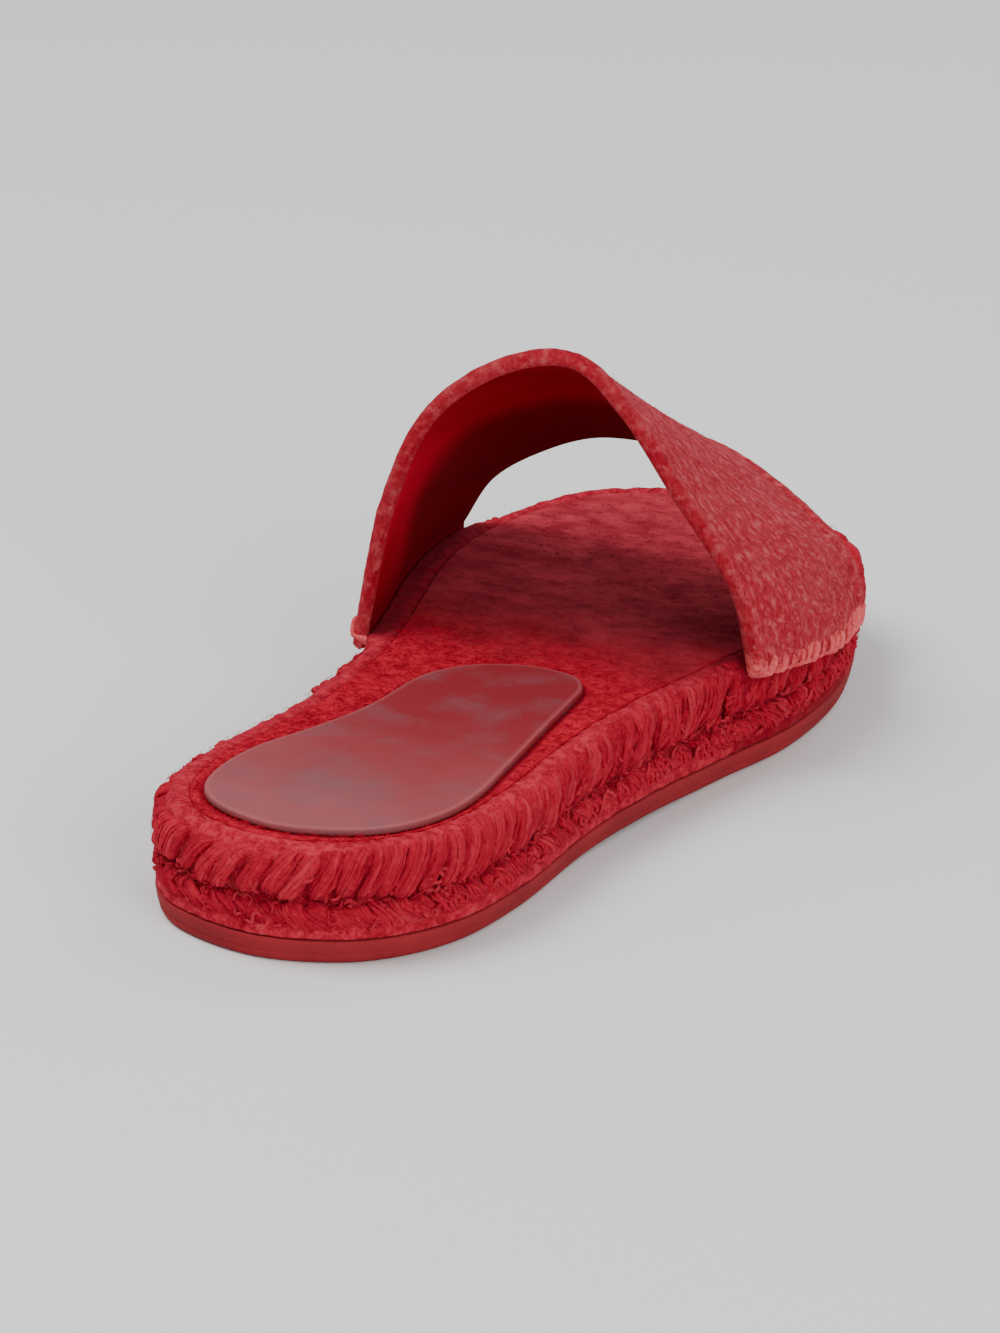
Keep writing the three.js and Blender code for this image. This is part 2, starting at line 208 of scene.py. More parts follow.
@dataclass
class MeshParts:
    """Corners and faces gathered from several grids or tubes, made into one mesh at the end."""

    corners: list[Array] = field(default_factory=list)
    quads: list[Array] = field(default_factory=list)
    caps: list[Array] = field(default_factory=list)
    charts: list[Array] = field(default_factory=list)
    tones: list[Array] = field(default_factory=list)
    slots: list[Array] = field(default_factory=list)
    count: int = 0

    def add_grid(self, grid: Array, chart: Array | None = None, tone: Array | float = 0.5,
                 slot: int | Array = 0, wrap: bool = False) -> None:
        """Adds a surface, rows by columns, whose columns cross rows facing outwards.

        Args:
            grid: corner places in mm, shape (rows, columns, 3).
            chart: map coordinates for each corner, shape (rows, columns, 2).
            tone: shade of each corner, 0 dark to 1 light.
            slot: material slot of each face, or one for all.
            wrap: whether the last column joins the first.
        """
        rows, columns = grid.shape[:2]
        index = np.arange(rows * columns).reshape(rows, columns) + self.count
        right = np.roll(index, -1, axis=1) if wrap else index[:, 1:]
        left = index if wrap else index[:, :-1]
        faces = np.stack([left[:-1], right[:-1], right[1:], left[1:]], axis=-1).reshape(-1, 4)
        self.corners.append(grid.reshape(-1, 3))
        self.quads.append(faces)
        chart = np.zeros((rows, columns, 2)) if chart is None else chart
        self.charts.append(chart.reshape(-1, 2))
        self.tones.append(np.broadcast_to(np.asarray(tone, float), (rows, columns)).reshape(-1))
        self.slots.append(np.broadcast_to(np.asarray(slot, int), (len(faces),)).copy())
        self.count += rows * columns

    def add_tubes(self, paths: Array, outward: Array, radius: Array, sides: int,
                  tone: Array | float = 0.5, flat: Array | float = 1.0) -> None:
        """Adds closed tubes, each a ring of corners carried along its path.

        A ring's corner is path + radius * (cos a * n + flat * sin a * b), where n is outward
        squared to the path, b is tangent x n and a goes once round. The map runs along the path
        in centimetres, shifted from tube to tube, and once round it.

        Args:
            paths: middle lines in mm, shape (tubes, steps, 3).
            outward: a direction away from the body at each step, same shape.
            radius: radius at each step, shape (tubes, steps).
            sides: corners of a ring.
            tone: shade of each tube at each step, or a shape that spreads to that.
            flat: width of the ring across, as a share of its radius, for all or each step.
        """
        tubes, steps = paths.shape[:2]
        flat = np.broadcast_to(np.asarray(flat, float), (tubes, steps))[:, :, None, None]
        tangent = unit(np.gradient(paths, axis=1))
        normal = unit(outward - np.sum(outward * tangent, -1, keepdims=True) * tangent)
        across = np.cross(tangent, normal)
        angle = np.linspace(0, 2 * math.pi, sides, endpoint=False)
        ring = (np.cos(angle)[:, None] * normal[:, :, None]
                + flat * np.sin(angle)[:, None] * across[:, :, None])
        grid = paths[:, :, None] + radius[:, :, None, None] * ring
        index = np.arange(tubes * steps * sides).reshape(tubes, steps, sides) + self.count
        turn = np.roll(index, -1, axis=2)
        faces = np.stack([index[:, :-1], turn[:, :-1], turn[:, 1:], index[:, 1:]], axis=-1)
        length = np.linalg.norm(np.diff(paths, axis=1), axis=-1).cumsum(axis=1)
        length = np.concatenate([np.zeros((tubes, 1)), length], axis=1)
        apart = 0.37 * np.arange(tubes)[:, None, None]
        chart = np.stack(np.broadcast_arrays(length[:, :, None] / MAP_UNIT + apart,
                                             angle / (2 * math.pi)), axis=-1)
        self.corners.append(grid.reshape(-1, 3))
        self.quads.append(faces.reshape(-1, 4))
        self.charts.append(chart.reshape(-1, 2))
        shade = np.broadcast_to(np.asarray(tone, float), (tubes, steps))
        self.tones.append(np.repeat(shade.reshape(-1), sides))
        self.slots.append(np.zeros(faces.size // 4, int))
        self.caps.append(index[:, 0, ::-1].reshape(-1, sides))
        self.caps.append(index[:, -1].reshape(-1, sides))
        self.count += tubes * steps * sides

    def add_shell(self, rings: Array, tone: Array | float = 0.5, floor_tone: float = 0.5,
                  lid: Array | None = None, lid_tone: Array | float = 0.5) -> None:
        """Adds a closed body: rings up its side, a floor across the first and a lid on the last.

        Args:
            rings: rings from the floor up, shape (rings, points, 3).
            tone: shade of the rings.
            floor_tone: shade of the floor.
            lid: a surface that ladder made across the last ring, or None for a plain one.
            lid_tone: shade of the lid.
        """
        plain = 9
        self.add_grid(rings, tone=tone, wrap=True)
        self.add_grid(ladder(rings[0], plain)[:, ::-1], tone=floor_tone)
        self.add_grid(ladder(rings[-1], plain) if lid is None else lid, tone=lid_tone)

    def add_hairs(self, root: Array, out: Array, lead: Array, bend: Array, length: Array,
                  taper: tuple[float, ...], tone: Array, lowest: float = 0.0) -> None:
        """Adds fine fibres with three sides.

        The middle line of a fibre is root + length * (t * lead + t^2 * bend), with t from 0 to 1.

        Args:
            root: where each fibre starts, shape (fibres, 3).
            out: a direction away from the surface, same shape.
            lead: the way in which each fibre leaves, same shape.
            bend: how it turns aside, same shape.
            length: length of each fibre, shape (fibres, 1, 1).
            taper: radius at each step from root to tip.
            tone: shade of each fibre, shape (fibres, 1).
            lowest: height in mm that no fibre goes below.
        """
        t = np.linspace(0, 1, len(taper))[None, :, None]
        paths = root[:, None] + length * (t * lead[:, None] + t ** 2 * bend[:, None])
        paths[..., 2] = np.maximum(paths[..., 2], lowest)
        radius = np.broadcast_to(np.array(taper), paths.shape[:2])
        self.add_tubes(paths, np.broadcast_to(out[:, None], paths.shape), radius, 3, tone)

    def build(self, name: str, heel_seat: float, *materials: bpy.types.Material,
              weld: bool = False) -> bpy.types.Object:
        """Makes the object, in metres and in the frame of the solids.

        Args:
            name: name of the object.
            heel_seat: distance from the back of the heel to the origin, in mm.
            materials: finishes, in the order of their slots.
            weld: whether corners in one place are joined, which closes seams and poles.

        Returns:
            The new object, with smooth faces, a map and a shade attribute.
        """
        corners = (np.concatenate(self.corners) - np.array([0, heel_seat, 0])) * MM
        quads = np.concatenate(self.quads)
        loops = [quads.reshape(-1)] + [cap.reshape(-1) for cap in self.caps]
        sizes = [np.full(len(quads), 4)] + [np.full(len(cap), cap.shape[1]) for cap in self.caps]
        corner_of = np.concatenate(loops).astype(np.int32)
        size = np.concatenate(sizes).astype(np.int32)
        mesh = bpy.data.meshes.new(name)
        mesh.vertices.add(len(corners))
        mesh.vertices.foreach_set("co", corners.astype(np.float32).reshape(-1))
        mesh.loops.add(len(corner_of))
        mesh.loops.foreach_set("vertex_index", corner_of)
        mesh.polygons.add(len(size))
        start = np.concatenate([[0], size.cumsum()[:-1]]).astype(np.int32)
        mesh.polygons.foreach_set("loop_start", start)
        slots = np.concatenate(self.slots)
        slots = np.concatenate([slots, np.zeros(len(size) - len(slots), int)]).astype(np.int32)
        mesh.polygons.foreach_set("material_index", slots)
        layer = mesh.uv_layers.new(name="UVMap")
        chart = np.concatenate(self.charts)[corner_of].astype(np.float32)
        layer.data.foreach_set("uv", chart.reshape(-1))
        shade = mesh.attributes.new("tone", "FLOAT", "POINT")
        shade.data.foreach_set("value", np.concatenate(self.tones).astype(np.float32))
        mesh.update(calc_edges=True)
        if weld:
            close_seams(mesh)
        mesh.validate()
        mesh.polygons.foreach_set("use_smooth", np.ones(len(mesh.polygons), bool))
        for material in materials:
            mesh.materials.append(material)
        LOG.info("%s: %d faces", name, len(mesh.polygons))
        return add_object(name, mesh)


class Shader:
    """Short ways to add and join the nodes of one material."""

    def __init__(self, name: str) -> None:
        """Starts a material with a plain principled surface.

        Args:
            name: name of the material.
        """
        self.material = bpy.data.materials.new(name)
        self.material.use_nodes = True
        self.tree = self.material.node_tree
        self.surface = self.tree.nodes["Principled BSDF"]
        self.coords = self.tree.nodes.new("ShaderNodeTexCoord")

    def node(self, kind: str, inputs: dict | None = None, **settings: object) -> bpy.types.Node:
        """Adds a node.

        Args:
            kind: type name of the node, without the ShaderNode prefix.
            inputs: socket name or number to a value or another socket.
            settings: properties of the node.

        Returns:
            The node.
        """
        made = self.tree.nodes.new("ShaderNode" + kind)
        for key, value in settings.items():
            setattr(made, key, value)
        for key, value in (inputs or {}).items():
            self.join(value, made.inputs[key])
        return made

    def join(self, value: object, socket: Socket) -> None:
        """Links a socket to another one, or sets it to a plain value.

        Args:
            value: another socket, or a value.
            socket: the socket that gets it.
        """
        if isinstance(value, Socket):
            self.tree.links.new(value, socket)
        else:
            socket.default_value = value

    def place(self, scale: float | tuple[float, float, float] = 1.0, source: str = "Object") -> Socket:
        """Object or UV coordinates times a scale, or a scale for each axis."""
        sizes = (scale, scale, scale) if isinstance(scale, float) else scale
        return self.node("Mapping", {"Vector": self.coords.outputs[source], "Scale": sizes}).outputs[0]

    def along(self, axis: str) -> Socket:
        """One of the object's own coordinates, in metres."""
        return self.node("SeparateXYZ", {0: self.coords.outputs["Object"]}).outputs[axis]

    def away(self, point: tuple[float, float, float]) -> Socket:
        """Distance from a point in the object's own coordinates, in metres."""
        inputs = {0: self.coords.outputs["Object"], 1: point}
        return self.node("VectorMath", inputs, operation="DISTANCE").outputs["Value"]

    def noise(self, vector: Socket, detail: float = 3.0, rough: float = 0.55) -> Socket:
        """Fractal noise from 0 to 1, one lump to each unit of the coordinates given."""
        inputs = {"Vector": vector, "Scale": 1.0, "Detail": detail, "Roughness": rough}
        return self.node("TexNoise", inputs).outputs["Fac"]

    def spread(self, value: Socket, low: float, high: float, to_low: float = 0.0,
               to_high: float = 1.0) -> Socket:
        """Maps a value from one range to another, held at its ends."""
        return self.node("MapRange", {0: value, 1: low, 2: high, 3: to_low, 4: to_high}).outputs[0]

    def math(self, kind: str, first: object, second: object = 0.0) -> Socket:
        """One sum of two values, named as Blender names it."""
        return self.node("Math", {0: first, 1: second}, operation=kind).outputs[0]

    def weigh(self, *parts: tuple[Socket, float]) -> Socket:
        """Sum of values, each times its own weight.

        Args:
            parts: pairs of a value and its weight.

        Returns:
            The sum.
        """
        total, *rest = (self.math("MULTIPLY", value, weight) for value, weight in parts)
        for part in rest:
            total = self.math("ADD", total, part)
        return total

    def wander(self, axis: str, value: Socket, reach: float) -> Socket:
        """One of the object's own coordinates, shifted to and fro by a noise, over reach in all."""
        shift = self.math("MULTIPLY", self.math("SUBTRACT", value, 0.5), reach)
        return self.math("ADD", self.along(axis), shift)

    def mix(self, share: object, first: object, second: object) -> Socket:
        """Mixes two colours by a share.

        Args:
            share: 0 for the first to 1 for the second, a socket or a number.
            first: socket or colour.
            second: socket or colour.

        Returns:
            The mixed colour.
        """
        made = self.node("Mix", data_type="RGBA")
        for number, value in ((0, share), (6, first), (7, second)):
            self.join(value, made.inputs[number])
        return made.outputs[2]

    def tone(self) -> Socket:
        """The mesh's own shade, 0 dark to 1 light."""
        return self.node("Attribute", attribute_name="tone").outputs["Fac"]

    def bump(self, height: Socket, depth: float, below: Socket | None = None) -> Socket:
        """Bump of a depth in mm, on top of another one if given.

        Args:
            height: relief from 0 to 1.
            depth: how deep it is, in mm.
            below: the other bump.

        Returns:
            The bent direction of the surface.
        """
        made = self.node("Bump", {"Height": height, "Distance": depth * MM})
        if below is not None:
            self.tree.links.new(below, made.inputs["Normal"])
        return made.outputs[0]

    def finish(self, color: object, roughness: object, normal: Socket | None = None,
               **plain: object) -> bpy.types.Material:
        """Joins colour, roughness and bump to the surface, and sets its other values.

        Args:
            color: socket or colour.
            roughness: socket or number.
            normal: bump, if any.
            plain: other inputs of the surface, with _ for a space, as plain values.

        Returns:
            The finished material.
        """
        self.join(color, self.surface.inputs["Base Color"])
        self.join(roughness, self.surface.inputs["Roughness"])
        if normal is not None:
            self.join(normal, self.surface.inputs["Normal"])
        for key, value in plain.items():
            self.surface.inputs[key.replace("_", " ")].default_value = value
        return self.material

    def soft_finish(self, color: object, roughness: float, normal: Socket, tint: Color,
                    sheen: float = 0.1, gloss: float = 0.05) -> bpy.types.Material:
        """Finishes a cloth or yarn, with a sheen of a tint and next to no gloss."""
        return self.finish(color, roughness, normal, Sheen_Weight=sheen, Sheen_Roughness=0.5,
                           Sheen_Tint=tint, Specular_IOR_Level=gloss)


@dataclass(frozen=True)
class RopeFinish:
    """Dyed soft rope: fine fibres along each strand, lighter where they catch the light."""

    name: str = "rope"
    deep: Color = srgb(126, 6, 24)
    body: Color = srgb(187, 29, 50)
    light: Color = srgb(220, 84, 94)
    fibre_depth: float = 0.35

    def make(self) -> bpy.types.Material:
        """Builds the material: streaked noise along the strand's own map sets shade and bump.

        Returns:
            The material.
        """
        shader = Shader(self.name)
        fibres = shader.noise(shader.place((5.0, 9.0, 1.0), "UV"), 4.0, 0.65)
        fluff = shader.noise(shader.place(900.0), 3.0, 0.65)
        broad = shader.noise(shader.place(160.0))
        # the mesh's tone holds random shades and, on the strands, painted shade in the groove and between
        # strands
        shade = shader.weigh((fibres, 0.4), (shader.tone(), 0.4), (broad, 0.25), (fluff, 0.35))
        color = shader.mix(shader.spread(shade, 0.38, 0.72), self.deep, self.body)
        color = shader.mix(shader.spread(shade, 0.72, 0.95, 0.0, 0.45), color, self.light)
        normal = shader.bump(fluff, 0.35, shader.bump(fibres, self.fibre_depth))
        return shader.soft_finish(color, 0.92, normal, ROPE_SHEEN, gloss=0.04)


@dataclass(frozen=True)
class MattedFinish:
    """Matted rope fibres where the strands are pressed flat: the rim's top and the side's foot."""

    deep: Color = srgb(112, 4, 20)
    body: Color = srgb(177, 33, 51)
    light: Color = srgb(204, 80, 88)

    def make(self) -> bpy.types.Material:
        """Builds the material: felt noise of two sizes, darker where the mesh's shade is low.

        Returns:
            The material.
        """
        shader = Shader("matted_rope")
        lumps = shader.noise(shader.place(420.0), 4.0, 0.6)
        hairs = shader.noise(shader.place(1300.0), 3.0, 0.65)
        shade = shader.weigh((lumps, 0.6), (hairs, 0.4))
        color = shader.mix(shader.spread(shade, 0.3, 0.54), self.deep, self.body)
        color = shader.mix(shader.spread(shade, 0.5, 0.74, 0.0, 0.6), color, self.light)
        color = shader.mix(shader.spread(shader.tone(), 0.0, 0.5, 0.85, 0.0), color, self.deep)
        normal = shader.bump(hairs, 0.2, shader.bump(lumps, 0.35))
        return shader.soft_finish(color, 0.95, normal, ROPE_SHEEN, gloss=0.04)


@dataclass(frozen=True)
class RubberFinish:
    """Matt moulded rubber, a little cloudy."""

    body: Color = srgb(150, 40, 46)
    dull: Color = srgb(132, 32, 40)

    def make(self) -> bpy.types.Material:
        """Builds the material from broad clouds and a fine orange peel.

        Returns:
            The material.
        """
        shader = Shader("outsole_rubber")
        cloud = shader.noise(shader.place(60.0), 4.0)
        fine = shader.noise(shader.place(1400.0), 2.0)
        color = shader.mix(shader.spread(cloud, 0.35, 0.65), self.dull, self.body)
        rough = shader.spread(cloud, 0.3, 0.7, 0.7, 0.85)
        return shader.finish(color, rough, shader.bump(fine, 0.1), Specular_IOR_Level=0.12)


@dataclass(frozen=True)
class FeltFinish:
    """Brushed cloth of the footbed: bright and hairy in the middle, worn and duller at the toes."""

    red: Color = srgb(189, 23, 45)
    deep: Color = srgb(136, 6, 24)
    worn: Color = srgb(176, 54, 66)
    worn_dark: Color = srgb(132, 24, 38)
    wear_start: float = 0.082
    wear_end: float = 0.112

    def make(self) -> bpy.types.Material:
        """Builds the material: felt noise, turning to soft streaks across the foot at the toes.

        Returns:
            The material.
        """
        shader = Shader("footbed_cloth")
        patch = shader.noise(shader.place(45.0), 4.0)
        wear = shader.spread(shader.wander("Y", patch, 0.05), self.wear_start, self.wear_end)
        streak = shader.noise(shader.place((190.0, 260.0, 300.0)), 5.0, 0.65)
        blot = shader.noise(shader.place((60.0, 85.0, 80.0)), 4.0, 0.6)
        nap = shader.noise(shader.place(430.0), 5.0, 0.68)
        red = shader.mix(shader.spread(nap, 0.26, 0.64), self.deep, self.red)
        faded = shader.weigh((streak, 0.5), (blot, 0.5))
        old = shader.mix(shader.spread(faded, 0.4, 0.6), self.worn_dark, self.worn)
        color = shader.mix(wear, red, old)
        color = shader.mix(shader.spread(patch, 0.55, 0.72, 0.0, 0.5), color, self.deep)
        # painted shade where the mesh's tone is low: the insole's gutter round the pad and its edge by the
        # rim
        color = shader.mix(shader.spread(shader.tone(), 0.0, 0.5, 0.8, 0.0), color, self.deep)
        soft = shader.spread(wear, 0.0, 1.0, 0.5, 0.2)
        normal = shader.bump(shader.math("MULTIPLY", nap, soft), 0.32)
        normal = shader.bump(shader.math("MULTIPLY", streak, wear), 0.1, normal)
        return shader.soft_finish(color, 0.95, normal, srgb(255, 130, 160), sheen=0.08)


@dataclass(frozen=True)
class LeatherFinish:
    """Thin dull leather of the heel pad, paler where the heel has rubbed it."""

    front: Color = srgb(132, 30, 40)
    middle: Color = srgb(140, 52, 58)
    heel: Color = srgb(144, 72, 76)
    grey: Color = srgb(116, 78, 84)
    # painted highlight on the rolled edge
    edge: Color = srgb(166, 86, 88)
    rubbed: Color = srgb(106, 84, 84)
    rubbed_at: tuple[float, float, float] = (0.0, -0.002, 0.0257)

    def make(self) -> bpy.types.Material:
        """Builds the material: colour drifts from heel to front, with stains, grain, and a painted
        highlight on the rolled edges.

        Returns:
            The material.
        """
        shader = Shader("pad_leather")
        patch = shader.noise(shader.place(38.0), 4.0)
        blots = shader.noise(shader.place(90.0), 3.0)
        y = shader.wander("Y", patch, 0.06)
        color = shader.mix(shader.spread(y, -0.022, 0.012), self.heel, self.middle)
        color = shader.mix(shader.spread(y, 0.012, 0.05), color, self.front)
        color = shader.mix(shader.spread(blots, 0.48, 0.7, 0.0, 0.4), color, self.grey)
        near = shader.spread(shader.away(self.rubbed_at), 0.0, 0.016, 0.5, 0.0)
        rubbed = shader.math("MULTIPLY", near, shader.spread(blots, 0.35, 0.6, 0.5, 1.0))
        color = shader.mix(rubbed, color, self.rubbed)
        # painted highlight: the edge colour where the mesh's tone is high, along the pad's rolled rim
        color = shader.mix(shader.spread(shader.tone(), 0.6, 1.0, 0.0, 0.5), color, self.edge)
        inputs = {"Vector": shader.place(1500.0), "Scale": 1.0}
        grain = shader.node("TexVoronoi", inputs, feature="SMOOTH_F1").outputs["Distance"]
        normal = shader.bump(shader.spread(grain, 0.1, 0.6), 0.05)
        normal = shader.bump(shader.noise(shader.place(600.0)), 0.1, normal)
        rough = shader.spread(patch, 0.3, 0.7, 0.6, 0.78)
        return shader.finish(color, rough, normal, Specular_IOR_Level=0.2)


@dataclass(frozen=True)
class TweedFinish:
    """Coarse marled cloth of the band: reds of several depths, with dark and pale flecks."""

    body: Color = srgb(178, 41, 54)
    deep: Color = srgb(136, 14, 30)
    pale: Color = srgb(198, 98, 102)
    hem: Color = srgb(230, 100, 100)

    def make(self) -> bpy.types.Material:
        """Builds the material: threads both ways on the band's map, flecks, and a rubbed pale hem.

        Returns:
            The material.
        """
        shader = Shader("band_cloth")
        warp = shader.noise(shader.place((5.5, 10.0, 1.0), "UV"), 4.0, 0.65)
        weft = shader.noise(shader.place((10.0, 6.5, 1.0), "UV"), 4.0, 0.65)
        fleck = shader.noise(shader.place((4.4, 4.4, 1.0), "UV"), 4.0, 0.65)
        cloud = shader.noise(shader.place((0.9, 0.9, 1.0), "UV"), 3.0)
        threads = shader.weigh((warp, 0.5), (weft, 0.5))
        color = shader.mix(shader.spread(threads, 0.4, 0.58), self.deep, self.body)
        color = shader.mix(shader.spread(fleck, 0.5, 0.68, 0.0, 0.7), color, self.pale)
        color = shader.mix(shader.spread(fleck, 0.47, 0.32, 0.0, 0.65), color, self.deep)
        color = shader.mix(shader.spread(cloud, 0.45, 0.7, 0.0, 0.16), color, self.pale)
        rub = shader.math("MULTIPLY", shader.tone(), shader.spread(fleck, 0.3, 0.6, 0.75, 1.1))
        color = shader.mix(shader.spread(rub, 0.68, 1.0, 0.0, 0.85), color, self.hem)
        color = shader.mix(shader.spread(shader.tone(), 0.1, 0.5, 0.4, 0.0), color, self.deep)
        normal = shader.bump(fleck, 0.3, shader.bump(threads, 0.5))
        return shader.soft_finish(color, 0.92, normal, srgb(255, 150, 165))


@dataclass(frozen=True)
class LiningFinish:
    """Smooth deep red lining inside the band."""

    body: Color = srgb(206, 16, 54)
    deep: Color = srgb(184, 8, 42)
    painted_shade_red: Color = srgb(108, 0, 14)

    def make(self) -> bpy.types.Material:
        """Builds the material: close plain weave, faint clouds, and painted shade high on the arch,
        towards the toe and near the footbed.

        Returns:
            The material.
        """
        shader = Shader("band_lining")
        weave = shader.noise(shader.place((26.0, 26.0, 1.0), "UV"), 2.0)
        cloud = shader.noise(shader.place((0.7, 0.7, 1.0), "UV"))
        color = shader.mix(shader.spread(cloud, 0.35, 0.65), self.deep, self.body)
        # painted shade inside the band: darker high on the arch, further towards the toe, and low by the
        # footbed
        inside = shader.math("MAXIMUM", shader.spread(shader.along("Z"), 0.05, 0.085),
                             shader.spread(shader.along("Y"), 0.086, 0.118))
        inside = shader.math("MAXIMUM", inside, shader.spread(shader.along("Z"), 0.026, 0.056, 0.9, 0.0))
        color = shader.mix(shader.math("MULTIPLY", inside, 0.9), color, self.painted_shade_red)
        return shader.finish(color, 0.85, shader.bump(weave, 0.1), Specular_IOR_Level=0.05)


@dataclass(frozen=True)
class ThreadFinish:
    """Pale red sewing thread."""

    body: Color = srgb(228, 102, 104)
    deep: Color = srgb(190, 48, 60)

    def make(self) -> bpy.types.Material:
        """Builds the material: strands wound round the thread's own map.

        Returns:
            The material.
        """
        shader = Shader("sewing_thread")
        twist = shader.noise(shader.place((16.0, 5.0, 1.0), "UV"), 2.0)
        shade = shader.weigh((twist, 1.0), (shader.tone(), 0.4))
        color = shader.mix(shader.spread(shade, 0.45, 0.9), self.deep, self.body)
        return shader.finish(color, 0.85, shader.bump(twist, 0.2), Specular_IOR_Level=0.1)


@dataclass
class SoleShape:
    """The outline and levels of the sole, which every layer follows.

    Rows of the outline are (share of length, width that the row follows, share of that width to
    the outer side, share to the inner side).
    """

    length: float = 245.0
    heel_width: float = 70.4
    waist_width: float = 66.7
    ball_width: float = 93.8
    heel_height: float = 23.9
    ball_height: float = 24.8
    arch_lift: float = 0.8
    toe_spring: float = 2.5
    heel_seat: float = 40.0
    band_seat: float = 0.9
    arch_span: tuple[float, float, float, float] = (0.28, 0.4, 0.44, 0.56)
    toe_start: float = 0.8
    rise_span: tuple[float, float] = (0.2, 0.7)
    samples: int = 1200

    def __post_init__(self) -> None:
        """Works out the closed outline, even along each side, from its rows."""
        heel, waist, ball = self.heel_width, self.waist_width, self.ball_width
        rows = np.array([
            (0.022, heel, 0.243, 0.27), (0.06, heel, 0.378, 0.403), (0.12, heel, 0.474, 0.48),
            (0.21, heel, 0.513, 0.487), (0.33, waist, 0.537, 0.463), (0.45, waist, 0.577, 0.478),
            (0.56, ball, 0.449, 0.401), (0.66, ball, 0.499, 0.466), (0.75, ball, 0.5, 0.5),
            (0.82, ball, 0.474, 0.49), (0.89, ball, 0.418, 0.441), (0.945, ball, 0.336, 0.363),
            (0.985, ball, 0.205, 0.198),
        ])
        self.ring = closed_outline(rows, self.length, 0.0, 0.02 * ball, self.samples)
        steps = np.linalg.norm(np.roll(self.ring, -1, axis=0) - self.ring, axis=1)
        self.perimeter = float(steps.sum())
        self.tangent = ring_tangent(self.ring)

    def lift(self, y: Array) -> Array:
        """Height of the tread above the floor: a slight arch, and the toe's spring as a square.

        Args:
            y: distances from the back of the heel, in mm.

        Returns:
            Heights in mm.
        """
        t = y / self.length
        start, top, fall, end = self.arch_span
        arch = self.arch_lift * smooth(t, start, top) * (1 - smooth(t, fall, end))
        toe = np.maximum(0, (t - self.toe_start) / (1 - self.toe_start))
        return arch + self.toe_spring * toe ** 2

    def level(self, y: Array, height: Array) -> Array:
        """A height of the sole's side, raised by the tread's lift and from heel to ball.

        Args:
            y: distances from the back of the heel, in mm.
            height: heights of the side at the ball, in mm.

        Returns:
            Heights above the floor, in mm.
        """
        grown = smooth(y / self.length, *self.rise_span)
        full = self.heel_height + (self.ball_height - self.heel_height) * grown
        return self.lift(y) + height * full / self.ball_height

    def outward(self, place: Array) -> Array:
        """Level direction straight out of the side at places round the sole."""
        along = self._pick(self.tangent, place)
        return np.stack([along[..., 1], -along[..., 0], np.zeros_like(along[..., 0])], axis=-1)

    def forward(self, place: Array) -> Array:
        """Direction of travel round the sole at places."""
        along = self._pick(self.tangent, place)
        return np.stack([along[..., 0], along[..., 1], np.zeros_like(along[..., 0])], axis=-1)

    def point(self, place: Array, inset: Array, height: Array) -> Array:
        """Points of the side.

        Args:
            place: share of the way round, from the heel up the outer side.
            inset: distance in from the outline, in mm.
            height: height of the side, in mm, before lift.

        Returns:
            Points in mm, with x, y, z last.
        """
        place, inset, height = np.broadcast_arrays(place, inset, height)
        flat = self._pick(self.ring, place) - self.outward(place)[..., :2] * inset[..., None]
        return np.concatenate([flat, self.level(flat[..., 1], height)[..., None]], axis=-1)

    def side(self, y: Array, sign: int) -> Array:
        """Half width, with its sign, at y on the outer (+1) or inner (-1) side."""
        half = self.samples // 2
        chain = self.ring[:half + 1] if sign > 0 else np.roll(self.ring, -half, axis=0)[:half][::-1]
        return np.interp(y, chain[:, 1], chain[:, 0])

    def rim(self, y: Array) -> Array:
        """Height of the top of the rim at y."""
        return self.level(y, self.ball_height)

    def _pick(self, table: Array, place: Array) -> Array:
        """Reads a table that runs round the sole, between its rows.

        Args:
            table: rows at even steps round the sole.
            place: shares of the way round.

        Returns:
            Rows of the table, with its columns last.
        """
        spot = np.mod(place, 1.0) * self.samples
        low = np.floor(spot).astype(int) % self.samples
        share = (spot - np.floor(spot))[..., None]
        return table[low] * (1 - share) + table[(low + 1) % self.samples] * share


def closed_outline(rows: Array, length: float, start: float, tip_shift: float, count: int) -> Array:
    """Closed smooth outline through rows, evenly spaced on each side.

    Args:
        rows: (share of length, width, share to the outer side, share to the inner side).
        length: length of the outline in mm.
        start: y of its back end.
        tip_shift: x of its front end.
        count: points all round.

    Returns:
        Points (count, 2): the back end, up the outer side, the front end, down the inner side.
    """
    y = start + rows[:, 0] * length
    outer = np.stack([rows[:, 1] * rows[:, 2], y], axis=1)
    inner = np.stack([-rows[:, 1] * rows[:, 3], y], axis=1)[::-1]
    points = np.vstack([[[0.0, start]], outer, [[tip_shift, start + length]], inner])
    half = 2400
    fine = catmull_rom(points, np.linspace(0, 1, 2 * half + 1), closed=True)
    halves = []
    for part in (fine[:half + 1], fine[half:]):
        run = np.concatenate([[0], np.linalg.norm(np.diff(part, axis=0), axis=1).cumsum()])
        want = np.linspace(0, run[-1], count // 2, endpoint=False)
        halves.append(np.stack([np.interp(want, run, part[:, k]) for k in (0, 1)], axis=1))
    return np.vstack(halves)


def ladder(ring: Array, across: int) -> Array:
    """A surface across a closed ring, as rows from the back tip to the front tip.

    Point k on the outer side is joined to its partner on the inner side by a straight row, so
    the two tips are rows of no width, which welding closes.

    Args:
        ring: points (n, 3) from the back tip round the outer side.
        across: columns of the surface.

    Returns:
        Points (n / 2 + 1, across, 3), seen from above with the inner side first.
    """
    half = len(ring) // 2
    outer = ring[:half + 1]
    inner = np.roll(ring[::-1], 1, axis=0)[:half + 1]
    share = np.linspace(0, 1, across)[None, :, None]
    return inner[:, None] * (1 - share) + outer[:, None] * share


